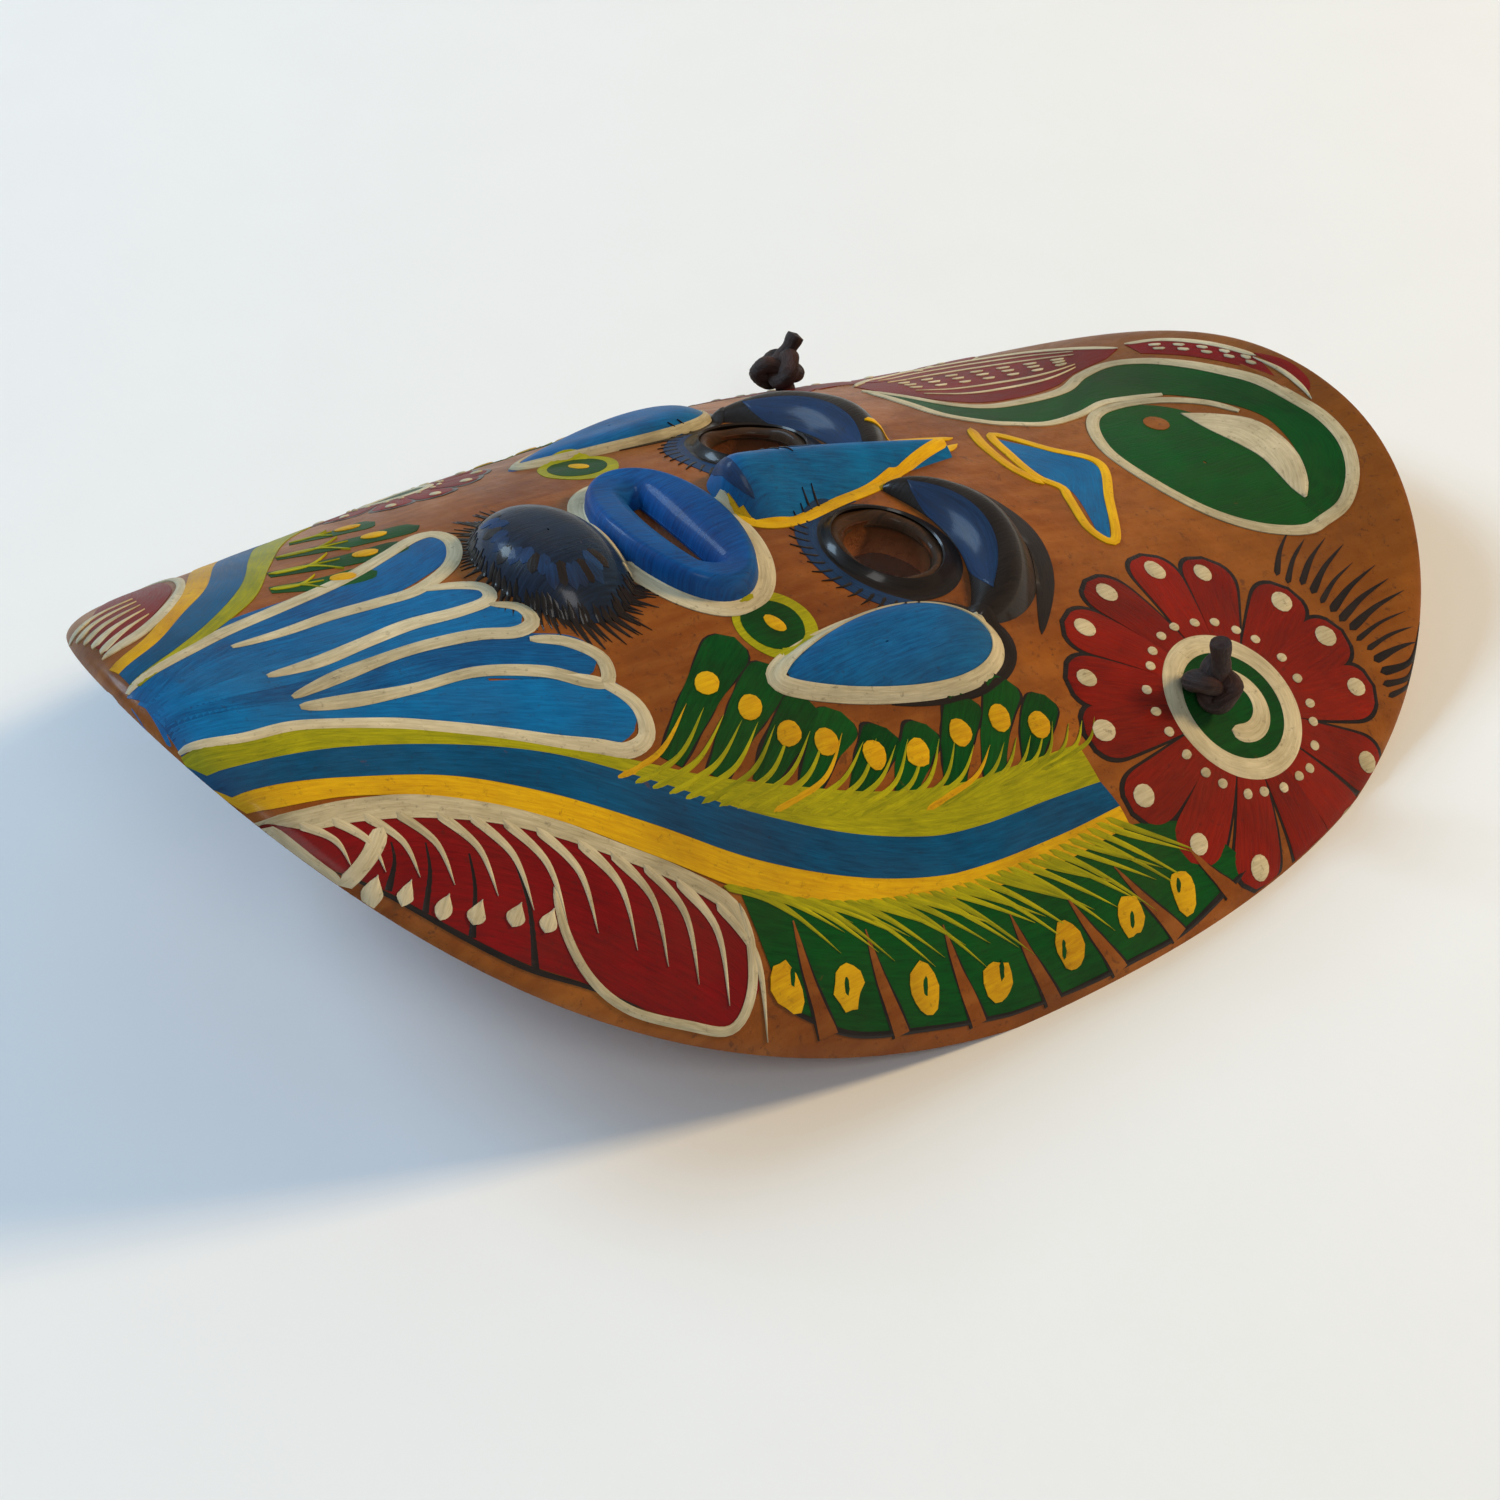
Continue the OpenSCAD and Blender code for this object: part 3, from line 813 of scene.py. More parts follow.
def make_shell():
    rows, cols = 150, 128
    outer, inner = arch(rows, cols, True), arch(rows, cols, False)
    coat = Coat("painted_shell")
    coat.put(outer, inner, outer[..., :2], 0.5)
    shell = coat.make(TERRACOTTA, ["clay_shell"])
    tool = cutter()
    cut = shell.modifiers.new("cut", "BOOLEAN")
    cut.object = tool
    cut.solver = "EXACT"
    graph = bpy.context.evaluated_depsgraph_get()
    mesh = bpy.data.meshes.new_from_object(shell.evaluated_get(graph), depsgraph=graph)
    shell.modifiers.clear()
    shell.data = mesh
    bpy.data.objects.remove(tool)
    mark_inner(mesh)
    shade_smooth(shell, 50)
    return shell


make_shell()

# ---------------------------------------------------------------- applied clay features


def lump(name, node, x, y, rise, material, **wraps):
    """A clay feature from a grid of (x, y) and its rise over the plain face."""
    coat = Coat(name)
    x, y, rise = np.broadcast_arrays(x, y, rise)
    top = drape(x, y, 0, face_z) + np.stack([0 * x, 0 * x, rise], -1)
    coat.put(top, drape(x, y, -LUMP_SUNK, face_z), np.stack([x, y], -1), 0.4, **wraps)
    coat.make(material, [node])


def oval_grid(at, turn, radii, taper=0.0, rings=22, sides=72):
    """Polar grid of an oval, closer together toward its edge, round a pinhole that closes up in its middle."""
    r = 0.015 + (1 - 0.015) * np.sin(np.linspace(0, math.pi / 2, rings))[:, None]
    a = np.linspace(0, 2 * np.pi, sides, endpoint=False)[None]
    u = radii[0] * r * np.cos(a)
    v = radii[1] * r * np.sin(a) * (1 - taper * 0.22 + taper * 0.28 * np.cos(a))
    c, s = math.cos(turn), math.sin(turn)
    return at[0] + u * c - v * s, at[1] + u * s + v * c, r, a


def cheek_grid(side, *fineness):
    return oval_grid((CHEEK[0], side * CHEEK[1]), side * CHEEK_TURN, CHEEK_RADII, 1, *fineness)


def cheek_edge(side, n, grow):
    """The outline of a cheek pad as n points, grown by a factor."""
    x, y, _, _ = cheek_grid(side, 4, n)
    ring = np.stack([x[-1], y[-1]], -1)
    middle = ring.mean(0)
    return middle + (ring - middle) * grow


def make_nose():
    u = np.linspace(0.004, 0.996, 60)[:, None]
    v = np.linspace(-1, 1, 33)[None]
    x = NOSE_X + NOSE_L * u + 0 * v
    y = 1.5 + 4.5 * u + nose_half(u) * v
    lump("nose_wedge", "nose", x, y, nose_high(u, np.abs(v)), BLUE)


def make_lips():
    """Ring of lip: over from its outer edge and down into the slot."""
    a = np.linspace(0, 2 * np.pi, 84, endpoint=False)[None]
    t = np.linspace(0, 1, 26)[:, None]
    reach = (MOUTH_L - MOUTH_W) / 2
    slot_x = 1.5 * np.cos(a) + 1.3 * np.sin(a) ** 2 - 0.5
    slot_y = np.clip(reach * 1.35 * np.sin(a), -reach, reach) + 1.6 * np.sin(a)
    x = MOUTH[0] + LIP_RADII[0] * np.cos(a) * (1 - t) + slot_x * t
    y = MOUTH[1] + LIP_RADII[1] * np.sin(a) * (1 - t) + slot_y * t
    uneven = 1 - 0.32 * t + 0.05 * np.sin(2 * a)
    rise = 4.3 * round_in(t, 0.24) * round_in(1 - t, 0.4) * uneven - 1.0 * t**6
    lump("lip_ring", "lips", x, y, rise, BRIGHT_BLUE, wrap_m=True)


def make_tuft():
    x, y, _, _ = oval_grid(TUFT, 0, TUFT_RADII)
    lump("tuft_dome", "chin_tuft", x, y, tuft_rise(x, y), NIGHT, wrap_m=True)


def make_cheek(side, name, node):
    x, y, r, a = cheek_grid(side)
    rise = 5 * (1 - r**4) * (0.75 + 0.35 * r * np.cos(a)) - 0.7 * (1 - r**2) ** 2
    lump(name, node, x, y, rise, BLUE, wrap_m=True)


def make_brow(side, name, node):
    u = np.linspace(0.008, 0.992, 64)[:, None]
    v = np.linspace(-1, 1, 25)[None]
    x, y = on_brow(u, v, side)
    lump(name, node, x, y, brow_high(u, v) + 0.12 * np.sin(19 * u) * brow_swell(u), BLACK)


def make_lid(side, name, node):
    a = np.linspace(0, 2 * np.pi, 72, endpoint=False)[None]
    t = np.linspace(0, 1, 14)[:, None]
    r = 6.8 + 3.0 * t
    x, y = EYE[0] + r * np.cos(a), side * EYE[1] + r * np.sin(a)
    uneven = 1 + 0.22 * np.sin(3 * a + side) + 0.1 * np.sin(7 * a)
    rise = 1.15 * np.sin(np.pi * t**0.7) ** 0.8 * uneven - (1 - t) ** 4
    lump(name, node, x, y, rise, SOOT, wrap_m=True)


make_nose()
make_lips()
make_tuft()
for side, word in ((NEAR, "near"), (FAR, "far")):
    make_cheek(side, f"cheek_pad_{word}", f"cheek_{word}")
    make_brow(side, f"brow_ridge_{word}", f"brow_{word}")
    make_lid(side, f"lid_ring_{word}", f"eyelid_{word}")

# ---------------------------------------------------------------- painted motifs

# How high each kind of coat lies over the clay, and how much thicker it is in its middle
FILL, BAND, TEAL_BAND, LINE, DOT = (0.08, 0.03), (0.16, 0.05), (0.2, 0.06), (0.2, 0.12), (0.26, 0.14)
TEMPLE, ROSETTE_REACH = (46, -57), 31


def ellipse(cx, cy, rx, ry, turn=0.0, n=16):
    a = np.linspace(0, 2 * np.pi, n, endpoint=False)
    u, v = rx * np.cos(a), ry * np.sin(a)
    c, s = math.cos(turn), math.sin(turn)
    return np.stack([cx + u * c - v * s, cy + u * s + v * c], -1)


class Disc:
    """A flat disc wrapped onto the face round a centre: distances along each radius stay true."""

    def __init__(self, centre, reach, spokes=96):
        self.step = 0.5
        steps = int(reach / self.step) + 2
        a = np.linspace(0, 2 * np.pi, spokes, endpoint=False)
        x, y = np.full(spokes, float(centre[0])), np.full(spokes, float(centre[1]))
        n = slope_normal(x, y, face_z)
        e1 = np.array([1.0, 0, 0]) - n[0, 0] * n[0]
        e1 /= np.linalg.norm(e1)
        e2 = np.cross(n[0], e1)
        ahead = np.cos(a)[:, None] * e1 + np.sin(a)[:, None] * e2
        track = [np.stack([x, y], -1)]
        for _ in range(steps):
            n = slope_normal(x, y, face_z)
            ahead = ahead - (ahead * n).sum(1, keepdims=True) * n
            ahead /= np.linalg.norm(ahead, axis=1, keepdims=True)
            x, y = within(x + self.step * ahead[:, 0], y + self.step * ahead[:, 1], 0.999)
            track.append(np.stack([x, y], -1))
        self.track, self.spokes = np.array(track), spokes

    def __call__(self, u, v):
        """(x, y) on the face of the disc's own point (u, v)."""
        r = np.clip(np.hypot(u, v) / self.step, 0, len(self.track) - 1.001)
        a = (np.arctan2(v, u) % (2 * np.pi)) / (2 * np.pi) * self.spokes
        i, j = r.astype(int), a.astype(int) % self.spokes
        fr, fa = (r - i)[..., None], (a - np.floor(a))[..., None]
        k = (j + 1) % self.spokes
        t = self.track
        one, two = t[i, j] * (1 - fr) + t[i + 1, j] * fr, t[i, k] * (1 - fr) + t[i + 1, k] * fr
        made = one * (1 - fa) + two * fa
        return made[..., 0], made[..., 1]

    def line(self, points):
        p = np.array(points, float)
        return np.stack(self(p[:, 0], p[:, 1]), -1)


def polar(r, a):
    return r * np.cos(a), r * np.sin(a)


def petal(coat, disc, a, r0, r1, half, lift, swirl):
    """A petal of a rosette: a wedge from r0 to r1 with a rounded tip, leaning by swirl."""
    t = np.linspace(0, 1, 26)[:, None]
    q = np.linspace(-1, 1, 9)[None]
    r = r0 + (r1 - r0) * t
    round_tip = np.sqrt(np.clip(1 - np.clip((t - 0.66) / 0.34, 0, 1) ** 2.4, 0.0004, 1))
    wide = half * (0.42 + 0.58 * t**0.9) * round_tip
    base_a = a + swirl * t
    u = r * np.cos(base_a) - wide * q * np.sin(base_a)
    v = r * np.sin(base_a) + wide * q * np.cos(base_a)
    x, y = disc(u, v)
    coat.lay(x, y, lift, 0.06, 1 - q**4, r, wide * q, None, face_z)


def rosette(word, centre, reach, petals, red, turn=0.0, eye=True):
    """Painted rosette: petals with dark outlines, cream dots, a cream ring and a green eye with a cream hook."""
    disc = Disc(centre, reach + 3)
    k = reach / ROSETTE_REACH
    lines, reds = Coat(f"rosette_lines_{word}"), Coat(f"rosette_petals_{word}")
    cream, green = Coat(f"rosette_cream_{word}"), Coat(f"rosette_eye_{word}")
    flat = {"place": disc, "height": face_z}
    step = 2 * math.pi / petals
    half = 0.5 * step * 0.95 * reach * 0.9
    for i in range(petals):
        a = turn + (i + rng.uniform(-0.05, 0.05)) * step
        long = reach * rng.uniform(0.96, 1.0)
        swirl = rng.uniform(-0.05, 0.09)
        petal(lines, disc, a, 11 * k, long + 0.8, half + 0.75, 0.05, swirl)
        petal(reds, disc, a, 11 * k, long, half, 0.12, swirl)
        r, b = long - 3.4 * k, a + swirl + rng.uniform(-0.03, 0.03)
        size = 1.75 * k * rng.uniform(0.9, 1.12)
        cream.blob(ellipse(*polar(r, b), size * 1.1, size, b), 0.26, 0.16, rings=5, wave=0.03, **flat)
    dots = int(petals * 1.6)
    for i in range(dots):
        u, v = polar(rng.uniform(15, 16.4) * k, 2 * math.pi * i / dots + rng.uniform(-0.05, 0.05))
        cream.blob(ellipse(u, v, 0.95 * k, 0.8 * k), *DOT, rings=3, wave=0.06, **flat)
    ring = disc.line(ellipse(0, 0, 11.3 * k, 11.3 * k, 0, 24))
    cream.stroke(ring, 1.75 * k, 0.2, 0.14, closed=True, n=96, height=face_z, across=7)
    green.blob(ellipse(0, 0, 10.2 * k, 10.2 * k, 0, 24), 0.13, 0.05, **flat)
    if eye:
        hook = disc.line(np.stack(polar(5.2 * k, np.radians(np.linspace(-135, 75, 12))), -1))
        cream.stroke(hook, 1.55 * k, 0.24, 0.14, round_both, n=30, height=face_z)
    for coat, colour in ((lines, BLACK), (reds, red), (cream, CREAM), (green, GREEN)):
        coat.make(colour)


rosette("temple", TEMPLE, ROSETTE_REACH, 15, BRICK_RED, 0.1)

# The blue fan on the chin: five petals from the point of the chin, with cream outlines
FAN_PETALS = [
    ([(-113, -6), (-95, 2.5), (-80, 5), (-70, 7), (-60, 10.5), (-52, 14.5)], 5.2),
    ([(-113, -8), (-95, -3), (-80, -2), (-70, -1.5), (-56, -2.5)], 4.2),
    ([(-113, -9.5), (-95, -9), (-80, -8), (-70, -7.8), (-54, -10)], 3.4),
    ([(-113, -11), (-95, -12.5), (-80, -13), (-66, -14.5), (-49, -22)], 4.9),
    ([(-113, -12), (-97, -14.5), (-80, -19.5), (-66, -24.6), (-49, -32)], 6.1)]
FAN_LINES = [
    [(-114, -3), (-104, 0.5), (-94, 4.5), (-84, 7.5), (-71, 11), (-62, 14.5), (-56, 17), (-52.5, 16.5),
     (-52, 12), (-56, 6), (-64, 2.2), (-71, 2), (-79, 2), (-88, 0.8), (-96, 0)],
    [(-64, 2), (-59, 0.5), (-55.5, -2), (-56.5, -5), (-62, -5.5), (-70, -5), (-78, -6), (-87, -7.5), (-95, -8)],
    [(-57, -6), (-53.5, -8.5), (-53.5, -12), (-57, -13), (-63, -11), (-73, -10), (-84, -11), (-94, -13)],
    [(-56, -15), (-51.5, -17.5), (-48.5, -22), (-50, -26), (-53, -25), (-58, -21), (-67, -17.5), (-77, -17),
     (-87, -16), (-94, -15)],
    [(-55, -23), (-51, -26), (-48.5, -31), (-50, -35.5), (-54, -36.5), (-58, -34.5), (-63, -32), (-70, -28),
     (-78, -24), (-85, -21), (-96, -18), (-105, -17.5), (-113, -15)]]


def fan_width(t):
    return np.maximum((0.62 + 0.38 * t) * round_in(1 - t, 0.09), 0.03)


fan, fan_edge = Coat("fan_petals"), Coat("fan_outlines")
for line, half in FAN_PETALS:
    fan.stroke(line, half, 0.07, 0.03, fan_width, across=9)
fan.patch([(-114.6, -5), (-111, -3.2), (-104, -0.2), (-92, 4), (-80, 7), (-66, 9)],
          [(-114.6, -12), (-112, -14.4), (-105, -16.8), (-92, -17.6), (-80, -21), (-66, -26)], 0.05, 0.02, tone=1.0)
for line in FAN_LINES:
    fan_edge.stroke(line, 1.15, 0.14, 0.12, lambda t: 0.3 + 0.7 * round_both(t, 0.2), wave=0.12)
fan.make(BLUE)
fan_edge.make(CREAM)

# Bands along each side: olive, teal and yellow, from the chin round under the cheeks
BAND_OLIVE_TOP = [(-113, -15.5), (-105, -18), (-95, -18.6), (-85, -21.5), (-77, -24.5), (-63, -32.5), (-54, -38),
                  (-45, -43.5), (-34, -48.5), (-22, -53), (-8, -56), (4, -56.5), (14, -56.5)]
BAND_TEAL_TOP = [(-113, -19), (-107, -21), (-92, -23), (-78, -27), (-65, -33), (-53, -41.5), (-42, -49.5),
                 (-30, -56), (-18, -60), (-8, -61.5), (4, -61.8), (14, -62)]
BAND_TEAL_LOW = [(-113, -22), (-108, -24.2), (-95, -27), (-81, -31), (-69, -37.5), (-57, -46), (-46, -54),
                 (-34, -60), (-22, -63.8), (-10, -65.6), (4, -66), (15, -65.5)]
BAND_YELLOW_LOW = [(-112, -24), (-106, -27.5), (-94, -30), (-82, -34), (-70, -41), (-59, -49.5), (-48, -57.5),
                   (-36, -63), (-24, -66.2), (-12, -68), (2, -68.8), (15, -68)]
UPPER_TIPS = [(-31, -28), (-28, -34), (-26, -40), (-22, -43), (-16.5, -47), (-10, -48.5), (-1, -47), (7, -46.5),
              (12, -50)]
UPPER_ROOTS = [(-49, -40), (-44, -44), (-38, -47), (-32, -50), (-25, -53), (-18, -55), (-10, -57), (-3, -57.5),
               (4, -58)]
FROND_TOP = [(-49.5, -57), (-42, -60.5), (-30, -64.5), (-18, -67), (-6, -68.3), (4, -68.6), (15, -68), (26, -70)]
FROND_RIM = [(-50.5, -68.5), (-42, -73.2), (-30, -76.2), (-18, -78.3), (-6, -79.6), (6, -80), (18, -79.6), (33, -76.5)]
WEDGE_ROOTS = [(-45.5, -72.3), (-34.5, -75.4), (-22, -77.9), (-9, -79.6), (3.5, -80.2), (15.5, -79.9), (27.5, -78.2)]
WEDGE_TIPS = [(-44, -62), (-34, -66), (-22, -69), (-11, -71), (-1, -72), (9, -71.5), (23, -72.5)]
FROND_DOTS = [(-48.5, -67), (-40, -70), (-29, -73.4), (-16.5, -75.6), (-4, -76.6), (8, -77), (19, -76.2)]


def wedge(t):
    return np.maximum(1 - t, 0.05) ** 0.8


def near_side():
    """The near side's bands, its upper and lower green fronds, their comb strokes and their yellow dots."""
    teal, olive, yellow = (Coat(f"band_{colour}_near") for colour in ("teal", "olive", "yellow"))
    leaves, edge, gaps = (Coat(f"frond_{part}_near") for part in ("leaves", "shadow", "gaps"))
    olive.patch(BAND_OLIVE_TOP, BAND_TEAL_TOP, *BAND)
    yellow.patch(BAND_TEAL_LOW, BAND_YELLOW_LOW, *BAND)
    teal.patch(BAND_TEAL_TOP, BAND_TEAL_LOW, *TEAL_BAND)
    for k, (root, tip) in enumerate(zip(UPPER_ROOTS, UPPER_TIPS)):
        top = (tip[0] * 1.16 - root[0] * 0.16 + 0.6, tip[1] * 1.16 - root[1] * 0.16)
        line = [root, mid(root, top, -1.4, -0.6), top]
        edge.stroke(line, 4.1 - 0.07 * k, 0.05, 0.02, lean_leaf, n=26, across=7)
        leaves.stroke(line, 3.75 - 0.07 * k, 0.08, 0.05, lean_leaf, n=26, across=7)
        spot = (tip[0] * 0.7 + root[0] * 0.3, tip[1] * 0.7 + root[1] * 0.3)
        way = math.atan2(tip[1] - root[1], tip[0] - root[0])
        yellow.blob(ellipse(*spot, 2.2, 1.7, way), *DOT, rings=5, wave=0.07)
    leaves.patch(FROND_TOP, FROND_RIM, 0.09, 0.04, n=70, m=12)
    for root, tip in zip(WEDGE_ROOTS, WEDGE_TIPS):
        line = [root, mid(root, tip, -0.5), tip]
        edge.stroke(line, 1.75, 0.15, 0.03, wedge, n=24)
        gaps.stroke(line, 1.3, 0.2, 0.03, wedge, n=24)
    for x, y in FROND_DOTS:
        wide = rng.uniform(1.5, 2.2)
        yellow.blob(ellipse(x, y, 2.5, wide, 0.3), 0.24, 0.1, rings=5, wave=0.16)
        nick = ellipse(x + rng.uniform(-0.8, 0.8), y + 0.3, 0.9, 0.35, 0.9)
        leaves.blob(nick, 0.34, 0.03, rings=3, wave=0.2)
    edge.stroke(FROND_RIM, 0.45, 0.12, 0.05, round_both, wave=0.25)
    for k, (x, y) in enumerate(smooth(BAND_YELLOW_LOW[6:], 34)):
        far = 8.5 + 2.5 * math.sin(1.7 * k)
        line = [(x - 3.5, y + 1.8), (x + 1.6, y - 0.16 * far), (x + 7.0 + 0.1 * k, y - 0.78 * far)]
        olive.stroke(line, 0.62, 0.2, 0.08, taper_out, n=18)
    for k, (x, y) in enumerate(smooth(BAND_OLIVE_TOP[6:], 28)[:-1]):
        tip = (x + 12.5 - 0.16 * k, y + 4.4 - 0.05 * k + rng.uniform(-0.7, 0.7))
        line = [(x - 6, y - 1.6), (x + 4.2, y - 0.3), tip]
        (olive if k % 9 else yellow).stroke(line, 0.72, 0.18, 0.06, taper_out, n=18)
    for coat, colour in ((gaps, TERRACOTTA), (edge, BLACK), (leaves, GREEN), (olive, OLIVE), (yellow, YELLOW),
                         (teal, TEAL)):
        coat.make(colour)


near_side()

# The red fan by the near jaw: cream crest and comb strokes over red petals
CREST = [(-109, -27.5), (-103, -29), (-96, -30), (-87, -32), (-78, -36), (-70, -41), (-63, -46.5), (-56, -52),
         (-51, -57), (-50.5, -61)]
CREST_LOW = [(-108, -28), (-103, -31.5), (-96, -33), (-88, -35), (-79, -38.5), (-72, -42.5), (-65, -47.5),
             (-58, -53), (-53, -58), (-52, -61)]
JAW = [(-108, -29), (-103.6, -35), (-97.4, -40.6), (-90.4, -47.4), (-83.6, -53), (-76.8, -57.3), (-71, -61.4),
       (-64, -65.2), (-58, -67.4), (-53, -66)]


def jaw_fan():
    red, cream, dark = (Coat(f"jaw_fan_{part}_near") for part in ("red", "cream", "lines"))
    red.patch(CREST, JAW, *FILL, n=46, m=20)
    cream.patch(CREST, CREST_LOW, 0.2, 0.06)
    crest = smooth(CREST_LOW, 60)
    for k in range(13):
        t = k / 12
        x, y = crest[int(5 + 51 * t)]
        reach = 5.5 + 6.5 * min(1, 2.2 * t)
        tip = (x + 3.2 - 4.6 * t, y - reach)
        bow = (x + 2.8 - 1.2 * t, y - 0.45 * reach)
        cream.stroke([(x - 0.6, y + 1.0), bow, tip], 0.85, 0.2, 0.1, taper_out, n=20)
    cream.stroke([(-108.5, -28.5), (-105, -34.5), (-102, -37.6), (-97.5, -37), (-93.5, -34.5)], 1.25, 0.22, 0.1,
                 round_both)
    cream.stroke([(-75, -48), (-76.4, -53), (-75.6, -57.5), (-72, -61.3), (-65, -65), (-59, -67.4), (-54.5, -66),
                  (-51.5, -62), (-50.5, -58)], 0.7, 0.22, 0.1, round_both)
    for x, y, size in ((-99, -40, 1.9), (-95, -42, 1.4), (-91, -45, 1.7), (-87, -47, 1.7), (-82, -49, 1.7),
                       (-78, -51, 1.6)):
        cream.stroke([(x + 1.6, y + 1.0), (x - 1.2, y - 0.7)], size * 0.8, 0.3, 0.14, drop, n=12)
    for top, low in (((-93.5, -36.5), (-97, -40.8)), ((-89, -38), (-93.6, -44.4)), ((-84, -41), (-89, -48.6)),
                     ((-78.5, -44), (-82.5, -54))):
        dark.stroke([top, mid(top, low, 0.8), low], 0.55, 0.1, 0.04, lambda t: 0.3 + 0.7 * t)
    dark.stroke([(-102.6, -36.2), (-97.4, -41), (-90.4, -47.8), (-83.6, -53.4), (-76.6, -57.7), (-70, -62)], 0.45,
                0.13, 0.05, taper_both)
    for coat, colour in ((red, DEEP_RED), (cream, CREAM), (dark, BLACK)):
        coat.make(colour)


jaw_fan()

# The green bird that curls over the forehead: body and head, cream outline, cream crescent, clay eye
BIRD_OUTER = [(47, 39), (50, 32), (53.5, 24.5), (59, 20.6), (67, 20), (77, 21), (84, 24.5), (91, 25.5), (96.5, 22),
              (100.5, 16), (103.5, 9.5), (106, 3), (107, -5), (107.5, -12), (106, -19), (102, -25), (96, -29.5),
              (90, -31)]
BIRD_INNER = [(47, 37), (47.5, 27), (49, 19.5), (54, 14), (58, 12), (64, 10), (72, 11), (79, 13), (84.5, 12),
              (90, 10), (94.5, 5), (98, -1), (99.5, -6), (99, -11), (97.5, -16), (95, -21), (92, -24), (89, -25)]
BIRD_HEAD = [(90, -31), (85, -31), (78, -28), (73, -23), (70, -17), (68, -10), (68, -3), (70.5, 4), (74.5, 8.6),
             (80, 10), (85, 8.6), (89, 4), (91, -2), (91, -9), (91, -16), (91, -23), (93, -28)]


def bird():
    green, cream, eye = Coat("bird_body"), Coat("bird_outlines"), Coat("bird_eye")
    green.patch(BIRD_OUTER, BIRD_INNER, *FILL, n=80, m=9)
    green.blob(BIRD_HEAD, *FILL, centre=(81, -11), rings=16)
    cream.stroke([*BIRD_OUTER, (85, -31.5), (78, -28.5), (72.5, -23.5), (69, -17), (67, -9), (67, -2), (70, 5),
                  (74.5, 9.6), (80, 10.8), (86, 9.6), (90.5, 7), (94.5, 3), (97, -2)], 1.05, *LINE,
                 lambda t: 0.4 + 0.75 * round_both(t, 0.3), wave=0.08)
    cream.stroke(BIRD_INNER[:10], 0.85, *LINE, lambda t: 0.5 + 0.5 * round_both(t, 0.2))
    cream.patch([(88, 3), (92.5, 0), (97, -5), (98, -11), (97, -17), (94, -22.5), (91, -25.5)],
                [(88, 2.4), (88.5, -3), (90, -9), (91, -14), (90.5, -19), (90, -23), (90.4, -25.6)], 0.22, 0.14)
    eye.blob(ellipse(82, 2.4, 2.1, 2.5), 0.2, 0.06, wave=0.04)
    green.make(GREEN)
    cream.make(CREAM)
    eye.make(TERRACOTTA)


bird()

# The mark on the brow between the eyes: a blue chevron with a yellow outline
CHEVRON = [(51, 9), (57, 1.5), (62.5, -5), (56, -15), (49, -24.5), (46.5, -21), (49, -13), (50, -10), (48, -6),
           (48.5, 1)]
chevron, chevron_edge = Coat("chevron_fill"), Coat("chevron_outline")
chevron.patch([(50, 8), (56, 1.5), (61.5, -5), (56, -14), (48.5, -24)],
              [(49.5, 8), (48.5, 0), (49.5, -7), (51, -12), (47, -23)], *FILL)
chevron_edge.stroke(CHEVRON, 0.85, *LINE, closed=True, n=90)
chevron_edge.stroke([(49, 12.5), (46.5, 6), (45.6, -2), (47.5, -8.5)], 0.95, *LINE, round_both)
chevron_edge.stroke([(-9.5, 0), (-8.5, -5.5), (-2, -7.2), (8, -4.8), (18, -2.2), (30, 2.6), (42, 7.2)], 1.1,
                    0.16, 0.14, round_both)
chevron_edge.stroke([(26, 11.5), (34, 10.8), (43, 9.6)], 0.7, 0.16, 0.12, round_both)
chevron.make(BLUE)
chevron_edge.make(YELLOW)

# Small ovals beside the mouth
SPOT = (-20, 26)
spots_ring, spots_fill, spots_dot = Coat("spot_rings"), Coat("spot_greens"), Coat("spot_dots")
for side in (NEAR, FAR):
    at = (SPOT[0], side * SPOT[1])
    spots_ring.blob(ellipse(*at, 6.4, 6.6), 0.08, 0.05, wave=0.03)
    spots_fill.blob(ellipse(*at, 4.8, 4.8), 0.16, 0.06, wave=0.03)
    spots_dot.blob(ellipse(*at, 1.2, 1.9, 0.4), *DOT, rings=4, wave=0.05)
spots_ring.make(OLIVE)
spots_fill.make(GREEN)
spots_dot.make(YELLOW)

# Cream outlines round the lips and the cheeks
outlines = Coat("face_outlines")
outlines.stroke([(MOUTH[0] + 11.4 * math.cos(a), MOUTH[1] + 18.4 * math.sin(a))
                 for a in np.linspace(0, 2 * math.pi, 24, endpoint=False)], 1.7, 0.16, 0.16, closed=True, n=110)
for side in (NEAR, FAR):
    half = 1.55 if side == NEAR else 0.95
    outlines.stroke(cheek_edge(side, 28, 0.94), half, 0.16, 0.16, closed=True, n=110)
outlines.make(CREAM)

